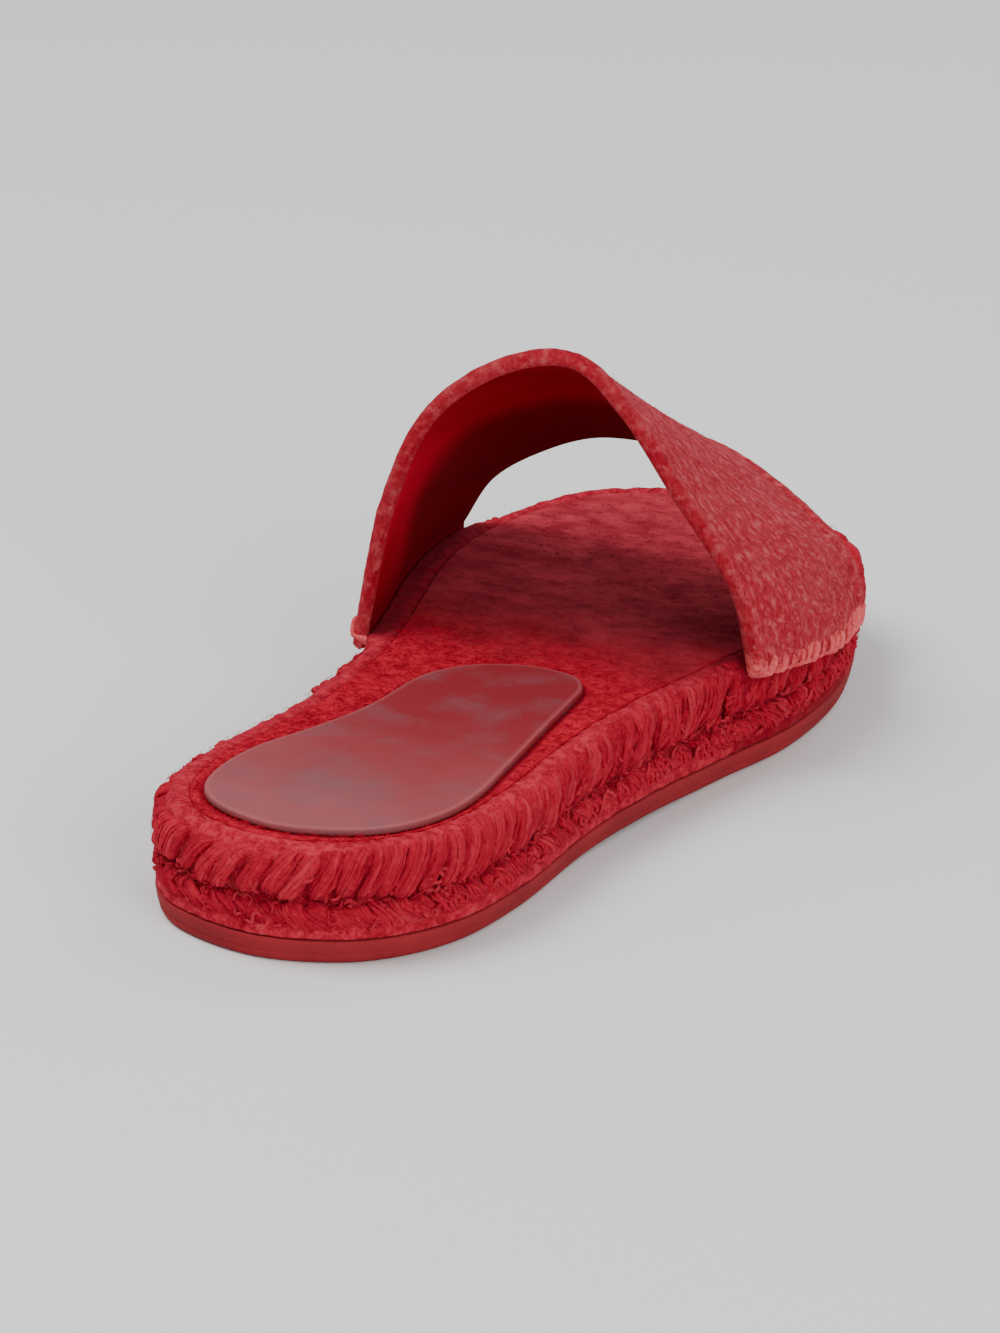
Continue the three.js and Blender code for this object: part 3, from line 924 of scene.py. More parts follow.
@dataclass
class BandShape:
    """The inner face of the band, the same surface as its solid has.

    Rows of the arch run from the outer foot over the instep to the inner foot: place across and
    rise of the back edge, then of the front edge, then the swell of the cloth between them.
    """

    sole: SoleShape
    wall: float = 3.0
    fold_width: float = 4.2
    fold_step: float = 0.5
    lap_back: float = 0.9
    lap_front: float = 6.8
    corner_rise: float = 2.6
    instep_height: float = 66.5
    toe_opening_height: float = 27.3
    swell: float = 2.4
    clearance: float = 0.3
    cover_fade: float = 5.5
    foot_share: float = 0.3
    outer_foot: tuple[float, float] = (0.586, 0.798)
    inner_foot: tuple[float, float] = (0.498, 0.808)
    crest: tuple[float, float] = (0.473, 0.778)

    def __post_init__(self) -> None:
        """Works out the two edges of the band over the instep."""
        self.rows = np.array([
            (1, 0, 1, 0, 0), (0.955, 0.271, 0.941, 0.289, 0.08), (0.688, 0.585, 0.686, 0.678, 0.1),
            (0.438, 0.862, 0.373, 0.945, 0.2), (0.205, 1, 0.039, 1, 0.25),
            (-0.178, 0.943, -0.279, 0.956, 0.5), (-0.588, 0.751, -0.57, 0.74, 1),
            (-0.827, 0.448, -0.825, 0.436, 0.6), (-1, 0, -1, 0, 0),
        ])
        self.crest_row = 4
        self.seat = self.sole.band_seat - self.clearance
        self.edges = [self._edge(0, self.instep_height), self._edge(1, self.toe_opening_height)]

    def _edge(self, edge: int, height: float) -> Array:
        """Corner points of one edge of the arch.

        Args:
            edge: 0 for the back edge, 1 for the front one.
            height: height of its crest above the rim, in mm.

        Returns:
            Points (rows, 3), from the outer to the inner foot.
        """
        feet_y = np.array([self.outer_foot[edge], self.inner_foot[edge]]) * self.sole.length
        sides = (self.sole.side(feet_y[0], 1), self.sole.side(feet_y[1], -1))
        feet_x = np.array([sides[0] - self.seat, sides[1] + self.seat])
        feet_z = self.sole.rim(feet_y)
        foot = (np.arange(len(self.rows)) > self.crest_row).astype(int)
        across, rise = self.rows[:, 2 * edge], self.rows[:, 2 * edge + 1]
        x = feet_x.mean() + (feet_x[0] - feet_x[1]) / 2 * across
        y = feet_y[foot] + (self.crest[edge] * self.sole.length - feet_y[foot]) * rise
        return np.stack([x, y, feet_z[foot] + height * rise], axis=1)

    def inner_face(self, u: Array, v: Array) -> Array:
        """Points of the inner face.

        A point is the mix of the two edges at u by v, plus a swell of 4v(1 - v) along the arch's
        own outward turn, plus the foot's own way along the side of the sole, which fades with u.

        Args:
            u: share of the way from the outer to the inner foot.
            v: share of the way from the back to the front edge, same shape.

        Returns:
            Points in mm, with x, y, z last.
        """
        back = catmull_rom(self.edges[0], u, closed=False)
        front = catmull_rom(self.edges[1], u, closed=False)
        point = back + (front - back) * v[..., None]
        place = np.clip(u * (len(self.rows) - 1), 0, len(self.rows) - 1 - 1e-9)
        low = place.astype(int)
        step = smooth(place - low, 0, 1)
        swell = self.rows[low, 4] * (1 - step) + self.rows[low + 1, 4] * step
        bulge = 4 * v * (1 - v) * self.swell * swell
        turn = math.pi * (u - 0.5)
        point[..., 0] -= np.sin(turn) * bulge
        point[..., 2] += np.cos(turn) * bulge
        for end, sign in ((0, 1), (-1, -1)):
            back_foot, front_foot = self.edges[0][end], self.edges[1][end]
            foot = back_foot + (front_foot - back_foot) * v[..., None]
            near = 1 - smooth(np.abs(u - (0 if end == 0 else 1)), 0, self.foot_share)
            near = near * ((u < 0.5) == (end == 0))
            point[..., 0] += (self.sole.side(foot[..., 1], sign) - sign * self.seat - foot[..., 0]) * near
            point[..., 2] += (self.sole.rim(foot[..., 1]) - foot[..., 2]) * near
        return point

    def frame_at(self, u: Array, v: Array) -> tuple[Array, Array]:
        """The inner face and its outward direction, square to steps along u and v.

        Args:
            u: share of the way from the outer to the inner foot.
            v: share of the way from the back to the front edge, same shape.

        Returns:
            Points in mm and directions, both with x, y, z last.
        """
        step = 1e-3
        point = self.inner_face(u, v)
        across = self.inner_face(np.clip(u + step, 0, 1), v) - self.inner_face(np.clip(u - step, 0, 1), v)
        along = self.inner_face(u, np.clip(v + step, 0, 1)) - self.inner_face(u, np.clip(v - step, 0, 1))
        return point, unit(np.cross(along, across))

    def lap(self, v: Array) -> Array:
        """How far the hem of a foot hangs below the rim, rounded up again at its front corner."""
        hang = self.lap_back + (self.lap_front - self.lap_back) * v
        return hang - self.corner_rise * smooth(v, 0.7, 1.0)

    def cover(self, x: Array, y: Array) -> Array:
        """1 where a foot of the band lies against the sole, falling to 0 past its edges."""
        back = np.where(x > 0, self.outer_foot[0], self.inner_foot[0]) * self.sole.length
        front = np.where(x > 0, self.outer_foot[1], self.inner_foot[1]) * self.sole.length
        return 1 - smooth(np.maximum(back - y, y - front), self.clearance, self.cover_fade)


@dataclass(frozen=True)
class StrandPlan:
    """How one course of strands is laid.

    Rows are (inset, height, lean) of a bundle's middle line, from the groove outwards. Lean is a
    share of the strand lean, back towards the groove's end.
    """

    rows: tuple[tuple[float, float, float], ...]
    yarns: int
    steps: int
    radius: float
    width: float
    depth: float
    flip: float


@dataclass
class RopeSole:
    """The plaited rope: a matted core, two courses of strands, and hairs that stand off them.

    Rows of the core's profile are (inset, height, looseness), from its foot over the rim to the
    seat of the insole. Looseness also sets the core's painted shade, darker where it is low:
    behind the strands and down beside the insole.
    """

    sole: SoleShape
    band: BandShape
    strand_pitch: float = 4.9
    strand_lean: float = 5.2
    late_start: float = 0.17
    late_yarn: float = 0.05
    uneven_size: float = 0.16
    uneven_way: float = 0.45
    uneven_shade: float = 0.09
    sunk: float = 0.6
    fan: float = 1.3
    seed: int = 7
    plans: dict[Course, StrandPlan] = field(default_factory=lambda: {
        Course.UPPER: StrandPlan(
            rows=((3.0, 13.4, 1.05), (1.5, 14.0, 1.0), (0.85, 15.8, 0.82), (0.75, 18.4, 0.54),
                  (1.1, 20.9, 0.29), (2.1, 22.8, 0.12), (3.5, 23.75, 0.0), (5.0, 23.9, 0.0),
                  (6.3, 23.2, 0.0)),
            yarns=9, steps=12, radius=0.5, width=2.1, depth=1.4, flip=1.0),
        Course.LOWER: StrandPlan(
            rows=((3.1, 13.3, 1.05), (1.7, 12.6, 0.95), (1.15, 11.1, 0.72), (1.1, 9.3, 0.42),
                  (1.4, 8.0, 0.18), (2.4, 7.0, 0.0)),
            yarns=7, steps=9, radius=0.46, width=2.2, depth=0.8, flip=-1.0),
    })
    core: tuple[tuple[float, float, float], ...] = (
        (2.7, 5.45, 0.3), (1.1, 5.5, 0.45), (0.95, 6.5, 0.6), (1.2, 7.9, 0.6), (1.6, 9.2, 0.4),
        (1.8, 11.0, 0.35), (2.6, 13.5, 0.3), (1.8, 16.0, 0.3), (1.7, 20.0, 0.3), (2.2, 22.2, 0.35),
        (3.1, 23.7, 0.6), (4.3, 24.4, 0.7), (5.4, 24.5, 0.65), (6.4, 24.35, 0.6), (6.97, 24.1, 0.5),
        (7.0, 22.2, 0.3))
    core_steps: int = 940
    core_rings: int = 42
    pressed_inset: float = 0.75
    lowest_curl: float = 6.0
    lowest_hair: float = 5.4

    def strand_count(self) -> int:
        """An even number of strands that fits the perimeter at about the strand pitch."""
        return 2 * int(round(self.sole.perimeter / self.strand_pitch / 2))

    def route(self, course: Course, place: Array, share: Array) -> Array:
        """Middle lines of strands.

        Args:
            course: which row of strands.
            place: where each strand meets the rim, as a share of the way round.
            share: places along the strand, 0 in the groove to 1 at its far end.

        Returns:
            Points in mm, shape of place and share together, and x, y, z.
        """
        path = catmull_rom(np.array(self.plans[course].rows), share, closed=False)
        slid = place - path[..., 2] * self.strand_lean / self.sole.perimeter
        at = self.sole.point(slid, path[..., 0], path[..., 1])
        cover = self.band.cover(at[..., 0], at[..., 1]) * smooth(path[..., 1], 15.5, 18.0)
        return self.sole.point(slid, path[..., 0] + self.sole.band_seat * cover, path[..., 1])

    def outward_at(self, course: Course, place: Array, share: Array) -> Array:
        """Direction out of the rope along strands: square to the profile of their course.

        Args:
            course: which row of strands.
            place: where each strand meets the rim, as a share of the way round.
            share: places along the strand, 0 in the groove to 1 at its far end.

        Returns:
            Directions, with x, y, z last.
        """
        plan = self.plans[course]
        rows = np.array(plan.rows)
        path = catmull_rom(rows, share, closed=False)
        step = 0.02
        ahead = catmull_rom(rows, np.clip(share + step, 0, 1), closed=False)
        behind = catmull_rom(rows, np.clip(share - step, 0, 1), closed=False)
        inward, up = (ahead - behind)[..., 0], (ahead - behind)[..., 1]
        slid = place - path[..., 2] * self.strand_lean / self.sole.perimeter
        level = self.sole.outward(slid) * (plan.flip * up)[..., None]
        return unit(level + np.array([0, 0, 1]) * (plan.flip * inward)[..., None])

    def curl(self, place: Array) -> Array:
        """How loose and curly the yarns are: 0 round the heel, rising to 1 towards the ball."""
        from_heel = np.minimum(np.mod(place, 1.0), 1 - np.mod(place, 1.0))
        return 0.15 + 0.85 * smooth(from_heel, 0.06, 0.24)

    def reach(self, place: Array, rng: np.random.Generator) -> Array:
        """How far over the rim each strand shows before it sinks into the matted top, as a share.

        Loops turn right over the rim on the outer side of the heel. Elsewhere they stop at its
        shoulder, and its top is a smooth matted roll.
        """
        turned = smooth(place, 0.0, 0.06) * (1 - smooth(place, 0.24, 0.42))
        return np.clip(0.66 + 0.24 * turned + rng.normal(0, 0.03, place.shape), 0.58, 1.0)

    def make_course(self, course: Course) -> bpy.types.Object:
        """Makes one course: each strand is a soft flat body with thin yarns half sunk in its face.

        Yarn j of a strand lies at angle a_j from the outward direction, turned slowly along it.
        Its place off the middle line is width * sin a_j along the rim and depth * cos a_j
        outwards, plus two slow waves that grow with the curl. Strands bow to and fro, stand more
        or less proud, and on the upper course flatten and sink where they turn over the rim.

        Args:
            course: which row of strands.

        Returns:
            One object with every yarn of the course.
        """
        plan = self.plans[course]
        rng = np.random.default_rng(self.seed + (0 if course is Course.UPPER else 1))
        strands = self.strand_count()
        place = (np.arange(strands) + 0.5 + rng.uniform(-0.2, 0.2, strands)) / strands
        share = np.linspace(0, 1, plan.steps)
        each = (strands, 1, 1)
        start = rng.uniform(0.0, self.late_start, each)
        stop = self.reach(place, rng)[:, None, None] if course is Course.UPPER else np.ones(each)
        loose = self.curl(place)[:, None, None] + 0.25 * (course is Course.LOWER)
        plump = 1 + self.uneven_size * rng.normal(0, 1, each).clip(-1.5, 1.5)
        bow = rng.normal(0, self.uneven_way, each) * (1 + loose)
        bow = bow * np.sin(math.pi * (share * 1.3 + rng.uniform(-0.3, 0.3, each)))
        bow = bow + rng.normal(0, 0.8, each).clip(-1.5, 1.5) * (1 - share)
        proud = rng.normal(0, 0.16, each).clip(-0.35, 0.3)
        shade = rng.normal(0, self.uneven_shade, each)
        parts = MeshParts()
        for yarns, sides in ((1, 8), (plan.yarns, 5)):
            late = rng.uniform(0.0, self.late_yarn, (strands, yarns, 1)) * (yarns > 1)
            along = start + late + (stop - start - late) * share
            spot = np.broadcast_to(place[:, None, None], along.shape)
            out = self.outward_at(course, spot, along)
            sink = smooth(share, 0.7, 1.0) * (course is Course.UPPER)
            tip = 0.5 + 0.5 * smooth(share, 0.0, 0.3)
            width = plan.width * plump * tip * (1 + 0.3 * sink)
            depth = plan.depth * plump * tip * (1 - 0.35 * sink)
            forward = self.sole.forward(spot)
            middle = self.route(course, spot, along) + forward * bow[..., None]
            middle = middle + out * (proud - self.sunk - 0.9 * sink)[..., None]
            shape = (strands * yarns, plan.steps)
            if yarns == 1:
                radius = np.broadcast_to(depth, along.shape)
                flat = np.broadcast_to(width / depth, along.shape).reshape(shape)
                # painted shade: the strand's body darker towards the groove end
                tone = rng.uniform(0.3, 0.55, each) - 0.35 * (1 - smooth(share, 0.0, 0.25))
                paths = middle
            else:
                angle = np.linspace(-self.fan, self.fan, yarns)[:, None]
                angle = angle + rng.normal(0, 0.14, (strands, yarns, 1))
                angle = angle + rng.normal(0.45, 0.2, each) * (2 * share - 1)
                phase = rng.uniform(0, 2 * math.pi, (2, strands, yarns, 1))
                beat = rng.uniform(0.6, 2.1, (2, strands, yarns, 1))
                wave = np.sin(2 * math.pi * beat * share + phase) * (0.16 + 0.5 * loose)
                paths = middle + forward * (width * np.sin(angle) + wave[0])[..., None]
                paths = paths + out * (depth * np.cos(angle) - 0.08 + 0.5 * wave[1])[..., None]
                body = np.sqrt(np.clip(1 - (2 * share - 1) ** 6, 0, 1))
                radius = plan.radius * (0.4 + 0.6 * body) * rng.uniform(0.75, 1.2, (strands, yarns, 1))
                flat = 1.0
                tone = rng.uniform(0.35, 0.8, (strands, yarns, 1)) + shade
                # painted shade: yarns darker towards the groove and on the strand's flanks, between
                # neighbouring strands
                tone = tone - 0.35 * (1 - smooth(share, 0.0, 0.2)) - 0.3 * np.abs(np.sin(angle)) ** 4
            tone = np.broadcast_to(tone, along.shape)
            parts.add_tubes(paths.reshape(*shape, 3), out.reshape(*shape, 3), radius.reshape(shape), sides,
                            tone.reshape(shape), flat)
        return parts.build(f"rope_{course.value}_strands", self.sole.heel_seat,
                           RopeFinish(f"rope_{course.value}").make())

    def make_core(self) -> bpy.types.Object:
        """Makes the matted body that shows at the rim's top and the foot of the side.

        Its profile is a smooth curve through the core's rows, carried round the sole, pressed
        out to the band where a foot lies over it, and roughened by noise of two sizes, outwards
        on the side and upwards on the rim.

        Returns:
            The core, one closed body.
        """
        place = np.linspace(0, 1, self.core_steps, endpoint=False)
        rows = catmull_rom(np.array(self.core), np.linspace(0, 1, self.core_rings), closed=False)
        inset, height, loose = rows[:, :1], rows[:, 1:2], rows[:, 2:]
        rings = self.sole.point(place[None], inset, height)
        crest = int(np.argmax(height))
        side = (np.arange(len(rows)) < crest)[:, None] * smooth(height, 14.0, 17.0)
        far = inset[crest] - self.pressed_inset
        full = self.pressed_inset + far * smooth(height, 23.7, float(height[crest, 0]))
        pressed = self.band.cover(rings[..., 0], rings[..., 1]) * side
        rings = self.sole.point(place[None], inset + (np.minimum(full, inset) - inset) * pressed, height)
        lump = 0.24 * value_noise(rings, 2.2, 51) + 0.14 * value_noise(rings, 0.8, 52)
        top = smooth(height, 21.0, 24.0)[..., None]
        away = np.array([0, 0, 1.0]) * top + self.sole.outward(place)[None] * (1 - top)
        rings = rings + away * (lump * smooth(loose, 0.1, 0.5))[..., None]
        # painted shade: the core darker where a foot of the band lies over it and where looseness is low;
        # floor and lid fully shaded
        under_band_shade = smooth(self.band.cover(rings[..., 0], rings[..., 1]), 0.2, 1.0)
        parts = MeshParts()
        parts.add_shell(rings, tone=loose * (1 - 0.85 * under_band_shade), floor_tone=0.0, lid_tone=0.0)
        return parts.build("rope_core", self.sole.heel_seat, MattedFinish().make(), weld=True)

    def stand(self, course: Course, place: Array, share: Array) -> tuple[Array, Array, Array, Array]:
        """Where a fibre stands on each strand.

        Args:
            course: which row of strands.
            place: where each strand meets the rim, shape (fibres, 1).
            share: place of the fibre along its strand, same shape.

        Returns:
            Points, and the ways out of the rope, round the sole and up its side, each (fibres, 3).
        """
        root = self.route(course, place, share)[:, 0]
        out = self.outward_at(course, place, share)[:, 0]
        forward = self.sole.forward(place)[:, 0]
        return root, out, forward, np.cross(out, forward)

    def make_curls(self, count: int = 620) -> bpy.types.Object:
        """Makes loose yarn ends that curl along the groove and off the side's strands.

        A curl runs mostly down the side, and swings across its own way and outwards as two sines.

        Args:
            count: number of curls.

        Returns:
            One object with every curl.
        """
        rng = np.random.default_rng(self.seed + 9)
        parts = MeshParts()
        share = np.linspace(0, 1, 10)[None, :]
        half = count // 2
        for course, number, far in ((Course.UPPER, half, 0.4), (Course.LOWER, count - half, 0.85)):
            each = (number, 1)
            place = np.sort(rng.uniform(0, 1, each), axis=0)
            root, out, forward, rise = self.stand(course, place, rng.uniform(0.0, far, each))
            lead = unit(rng.normal(-0.3, 0.6, each) * forward - rng.uniform(0.1, 1.0, each) * rise)
            side = np.cross(out, lead)
            length = rng.uniform(1.8, 4.0, each)
            phase, beat = rng.uniform(0, 2 * math.pi, (2, *each)), rng.uniform(0.6, 1.5, (2, *each))
            swing = rng.uniform(0.3, 0.8, each) * np.sin(2 * math.pi * beat[0] * share + phase[0])
            stand = 0.3 * np.sin(2 * math.pi * beat[1] * share + phase[1])
            paths = (root + out * 0.35)[:, None] + (length * (share - 0.5))[..., None] * lead[:, None]
            paths = paths + swing[..., None] * side[:, None] + stand[..., None] * out[:, None]
            paths[..., 2] = np.maximum(paths[..., 2], self.lowest_curl)
            body = np.sqrt(np.clip(1 - (2 * share - 1) ** 4, 0.04, 1))
            radius = rng.uniform(0.32, 0.48, each) * body
            parts.add_tubes(paths, np.broadcast_to(out[:, None], paths.shape), radius, 5,
                            rng.uniform(0.45, 0.85, each))
        return parts.build("rope_curls", self.sole.heel_seat, RopeFinish("rope_curl").make())

    def make_hairs(self, count: int = 5600) -> bpy.types.Object:
        """Makes stray fibres: thin tapered curls that leave a strand and turn along it.

        Args:
            count: number of hairs.

        Returns:
            One object with every hair.
        """
        rng = np.random.default_rng(self.seed + 5)
        parts = MeshParts()
        for course, number, far in ((Course.UPPER, int(count * 0.72), 0.6),
                                    (Course.LOWER, int(count * 0.28), 0.95)):
            each = (number, 1)
            place = rng.uniform(0, 1, each)
            share = rng.uniform(0.05, far, each)
            root, out, forward, rise = self.stand(course, place, share)
            lead = unit(rng.normal(0, 0.8, each) * forward + rng.normal(0.1, 0.8, each) * rise
                        + rng.uniform(-0.15, 0.15, each) * out)
            bend = 0.3 * unit(rng.normal(0, 1, (number, 3)))
            length = rng.uniform(0.5, 1.9, (number, 1, 1)) * (1 - 0.4 * smooth(share, 0.4, 0.6))[..., None]
            parts.add_hairs(root + out * 0.9, out + 1e-3, lead, bend, length, (0.065, 0.06, 0.045, 0.02),
                            rng.uniform(0.3, 1.0, each), self.lowest_hair)
        finish = RopeFinish("rope_hair", deep=srgb(160, 18, 36), body=srgb(202, 42, 62))
        return parts.build("rope_hairs", self.sole.heel_seat, finish.make())


@dataclass
class Outsole:
    """Moulded rubber under the rope: rounded tread edge and a low wall."""

    sole: SoleShape
    thickness: float = 5.2
    tread_inset: float = 1.6
    edge_radius: float = 1.4
    wall_inset: float = 0.8

    def make(self) -> bpy.types.Object:
        """Makes the rubber: rings up its side, closed by the tread below and a face above.

        Returns:
            The outsole, one closed body.
        """
        turn = np.linspace(0, math.pi / 2, 6)
        edge = [(self.tread_inset + self.edge_radius * (1 - math.sin(a)),
                 self.edge_radius * (1 - math.cos(a))) for a in turn]
        lip = [(self.tread_inset - out, height) for out, height in ((0.25, 2.0), (0.1, 2.25), (0.4, 2.6))]
        wall = [(self.wall_inset + inset, height)
                for inset, height in ((0.1, 4.2), (0.0, 4.8), (0.1, 5.1), (0.4, self.thickness))]
        table = np.array(edge + lip + wall)
        place = np.linspace(0, 1, 480, endpoint=False)
        parts = MeshParts()
        parts.add_shell(self.sole.point(place[None], table[:, :1], table[:, 1:]))
        return parts.build("outsole_rubber", self.sole.heel_seat, RubberFinish().make(), weld=True)


@dataclass
class Footbed:
    """The cloth insole inside the rim and the leather heel pad on it."""

    sole: SoleShape
    inset: float = 7.05
    bottom: float = 22.4
    top: float = 24.5
    edge: float = 0.35
    gutter_depth: float = 0.55
    gutter_width: float = 0.8
    columns: int = 108
    pad_length: float = 106.5
    pad_heel_width: float = 50.8
    pad_front_width: float = 32.8
    pad_margin: float = 10.6
    pad_bottom: float = 24.8
    pad_thickness: float = 0.9
    pad_edge: float = 0.5
    pad_points: int = 400

    def make_insole(self) -> bpy.types.Object:
        """Makes the insole: a soft-edged sheet, rough with felt, with a gutter round the pad.

        The gutter's depth falls off as a bell curve of the distance from the pad's outline, and
        painted shade darkens it by the same curve.

        Returns:
            The insole, one closed body.
        """
        place = np.linspace(0, 1, 800, endpoint=False)
        table = np.array([(self.inset, self.bottom)] + rounded_edge(self.inset, self.top, self.edge))
        rings = self.sole.point(place[None], table[:, :1], table[:, 1:])
        face = ladder(rings[-1], self.columns)
        gap = distance_to(face, self.pad_ring(240))
        gutter = np.exp(-((gap - 0.3) / self.gutter_width) ** 2)
        rough = 0.15 * value_noise(face, 2.6, 3) + 0.1 * value_noise(face, 1.1, 4)
        inside = np.sin(math.pi * np.linspace(0, 1, self.columns)) ** 0.3
        face[..., 2] += rough * inside[None] - self.gutter_depth * gutter
        parts = MeshParts()
        # tones are painted shade: the edge darker towards its foot in the gap by the rim, the floor dark,
        # the face dark in the gutter
        parts.add_shell(rings, np.linspace(0.35, 0.5, len(table))[:, None], 0.2, face, 0.5 - 0.5 * gutter)
        return parts.build("insole_cloth", self.sole.heel_seat, FeltFinish().make(), weld=True)

    def pad_ring(self, count: int) -> Array:
        """Outline of the heel pad, narrowing under the arch and leaning to the outer side.

        Args:
            count: points all round.

        Returns:
            Points (count, 2) in mm, from the back round the outer side.
        """
        heel, front = self.pad_heel_width, self.pad_front_width
        rows = np.array([
            (0.025, heel, 0.2, 0.22), (0.07, heel, 0.346, 0.362), (0.13, heel, 0.443, 0.437),
            (0.23, heel, 0.516, 0.47), (0.35, heel, 0.528, 0.449), (0.5, heel, 0.498, 0.35),
            (0.67, front, 0.723, 0.396), (0.85, front, 0.68, 0.32), (0.933, front, 0.64, 0.168),
            (0.984, front, 0.518, -0.055),
        ])
        return closed_outline(rows, self.pad_length, self.pad_margin, 0.29 * front, count)

    def make_pad(self) -> bpy.types.Object:
        """Makes the heel pad: a thin skin with rolled edges, a little dished and rippled.

        Returns:
            The pad, one closed body.
        """
        ring = self.pad_ring(self.pad_points)
        tangent = ring_tangent(ring)
        inward = np.stack([-tangent[:, 1], tangent[:, 0]], axis=1)
        rows = np.array([(0.0, -0.5), (0.0, 0.0)] + rounded_edge(0.0, self.pad_thickness, self.pad_edge))
        flat = ring + inward * rows[:, :1, None]
        level = self.sole.level(flat[..., 1], self.pad_bottom + rows[:, 1:])
        rings = np.concatenate([flat, level[..., None]], axis=-1)
        face = ladder(rings[-1], 60)
        from_edge = distance_to(face, ring)
        ripple = 0.3 * value_noise(face, 26.0, 11) + 0.06 * value_noise(face, 7.0, 12)
        face[..., 2] += (ripple - 0.25) * smooth(from_edge, 0.6, 12.0)
        parts = MeshParts()
        # tone for the painted highlight: rising up the side to the rolled rim, and high on the face by the
        # edge
        parts.add_shell(rings, np.linspace(0.2, 1.0, len(rows))[:, None], 0.2, face,
                        0.5 + 0.5 * (1 - smooth(from_edge, 0.5, 1.6)))
        return parts.build("heel_pad_leather", self.sole.heel_seat, LeatherFinish().make(), weld=True)

    def make_fuzz(self, count: int = 5400) -> bpy.types.Object:
        """Makes the nap of the footbed: short fibres lying over the cloth outside the pad.

        Places are drawn over the whole footbed, and those under the pad and most of those on the
        worn front are dropped.

        Args:
            count: number of fibres.

        Returns:
            One object with every fibre.
        """
        rng = np.random.default_rng(21)
        tries = count * 3
        y = rng.uniform(9, self.sole.length - 9, tries)
        wide = rng.uniform(-1, 1, tries)
        margin = self.inset - 0.4
        half = np.where(wide > 0, self.sole.side(y, 1) - margin, -self.sole.side(y, -1) - margin)
        x = wide * half
        pad = self.pad_ring(self.pad_points)
        half_pad = len(pad) // 2
        right = np.interp(y, pad[:half_pad, 1], pad[:half_pad, 0])
        left = np.interp(y, pad[half_pad:][::-1][:, 1], pad[half_pad:][::-1][:, 0])
        clear = 0.8
        beyond = (y > self.pad_margin + self.pad_length + clear) | (y < self.pad_margin - clear)
        free = (x > right + clear) | (x < left - clear) | beyond
        kept = rng.uniform(0, 1, tries) > 0.75 * smooth(y, 122, 152)
        x, y = x[free & kept][:count], y[free & kept][:count]
        number = len(x)
        root = np.stack([x, y, self.sole.level(y, np.full(number, self.top + 0.1))], axis=1)
        heading = rng.uniform(0, 2 * math.pi, number)
        lead = np.stack([np.cos(heading), np.sin(heading), rng.uniform(-0.1, 0.2, number)], axis=1)
        length = rng.uniform(0.6, 1.9, (number, 1, 1)) * (1 - 0.5 * smooth(y, 118, 150))[:, None, None]
        bend = rng.normal(0, 0.4, (number, 3)) * np.array([1, 1, 0.15])
        parts = MeshParts()
        parts.add_hairs(root, np.broadcast_to([0.0, 0.0, 1.0], root.shape), lead, bend, length,
                        (0.06, 0.06, 0.045, 0.02), rng.uniform(0.4, 0.9, (number, 1)))
        return parts.build("insole_nap", self.sole.heel_seat, FeltFinish().make())


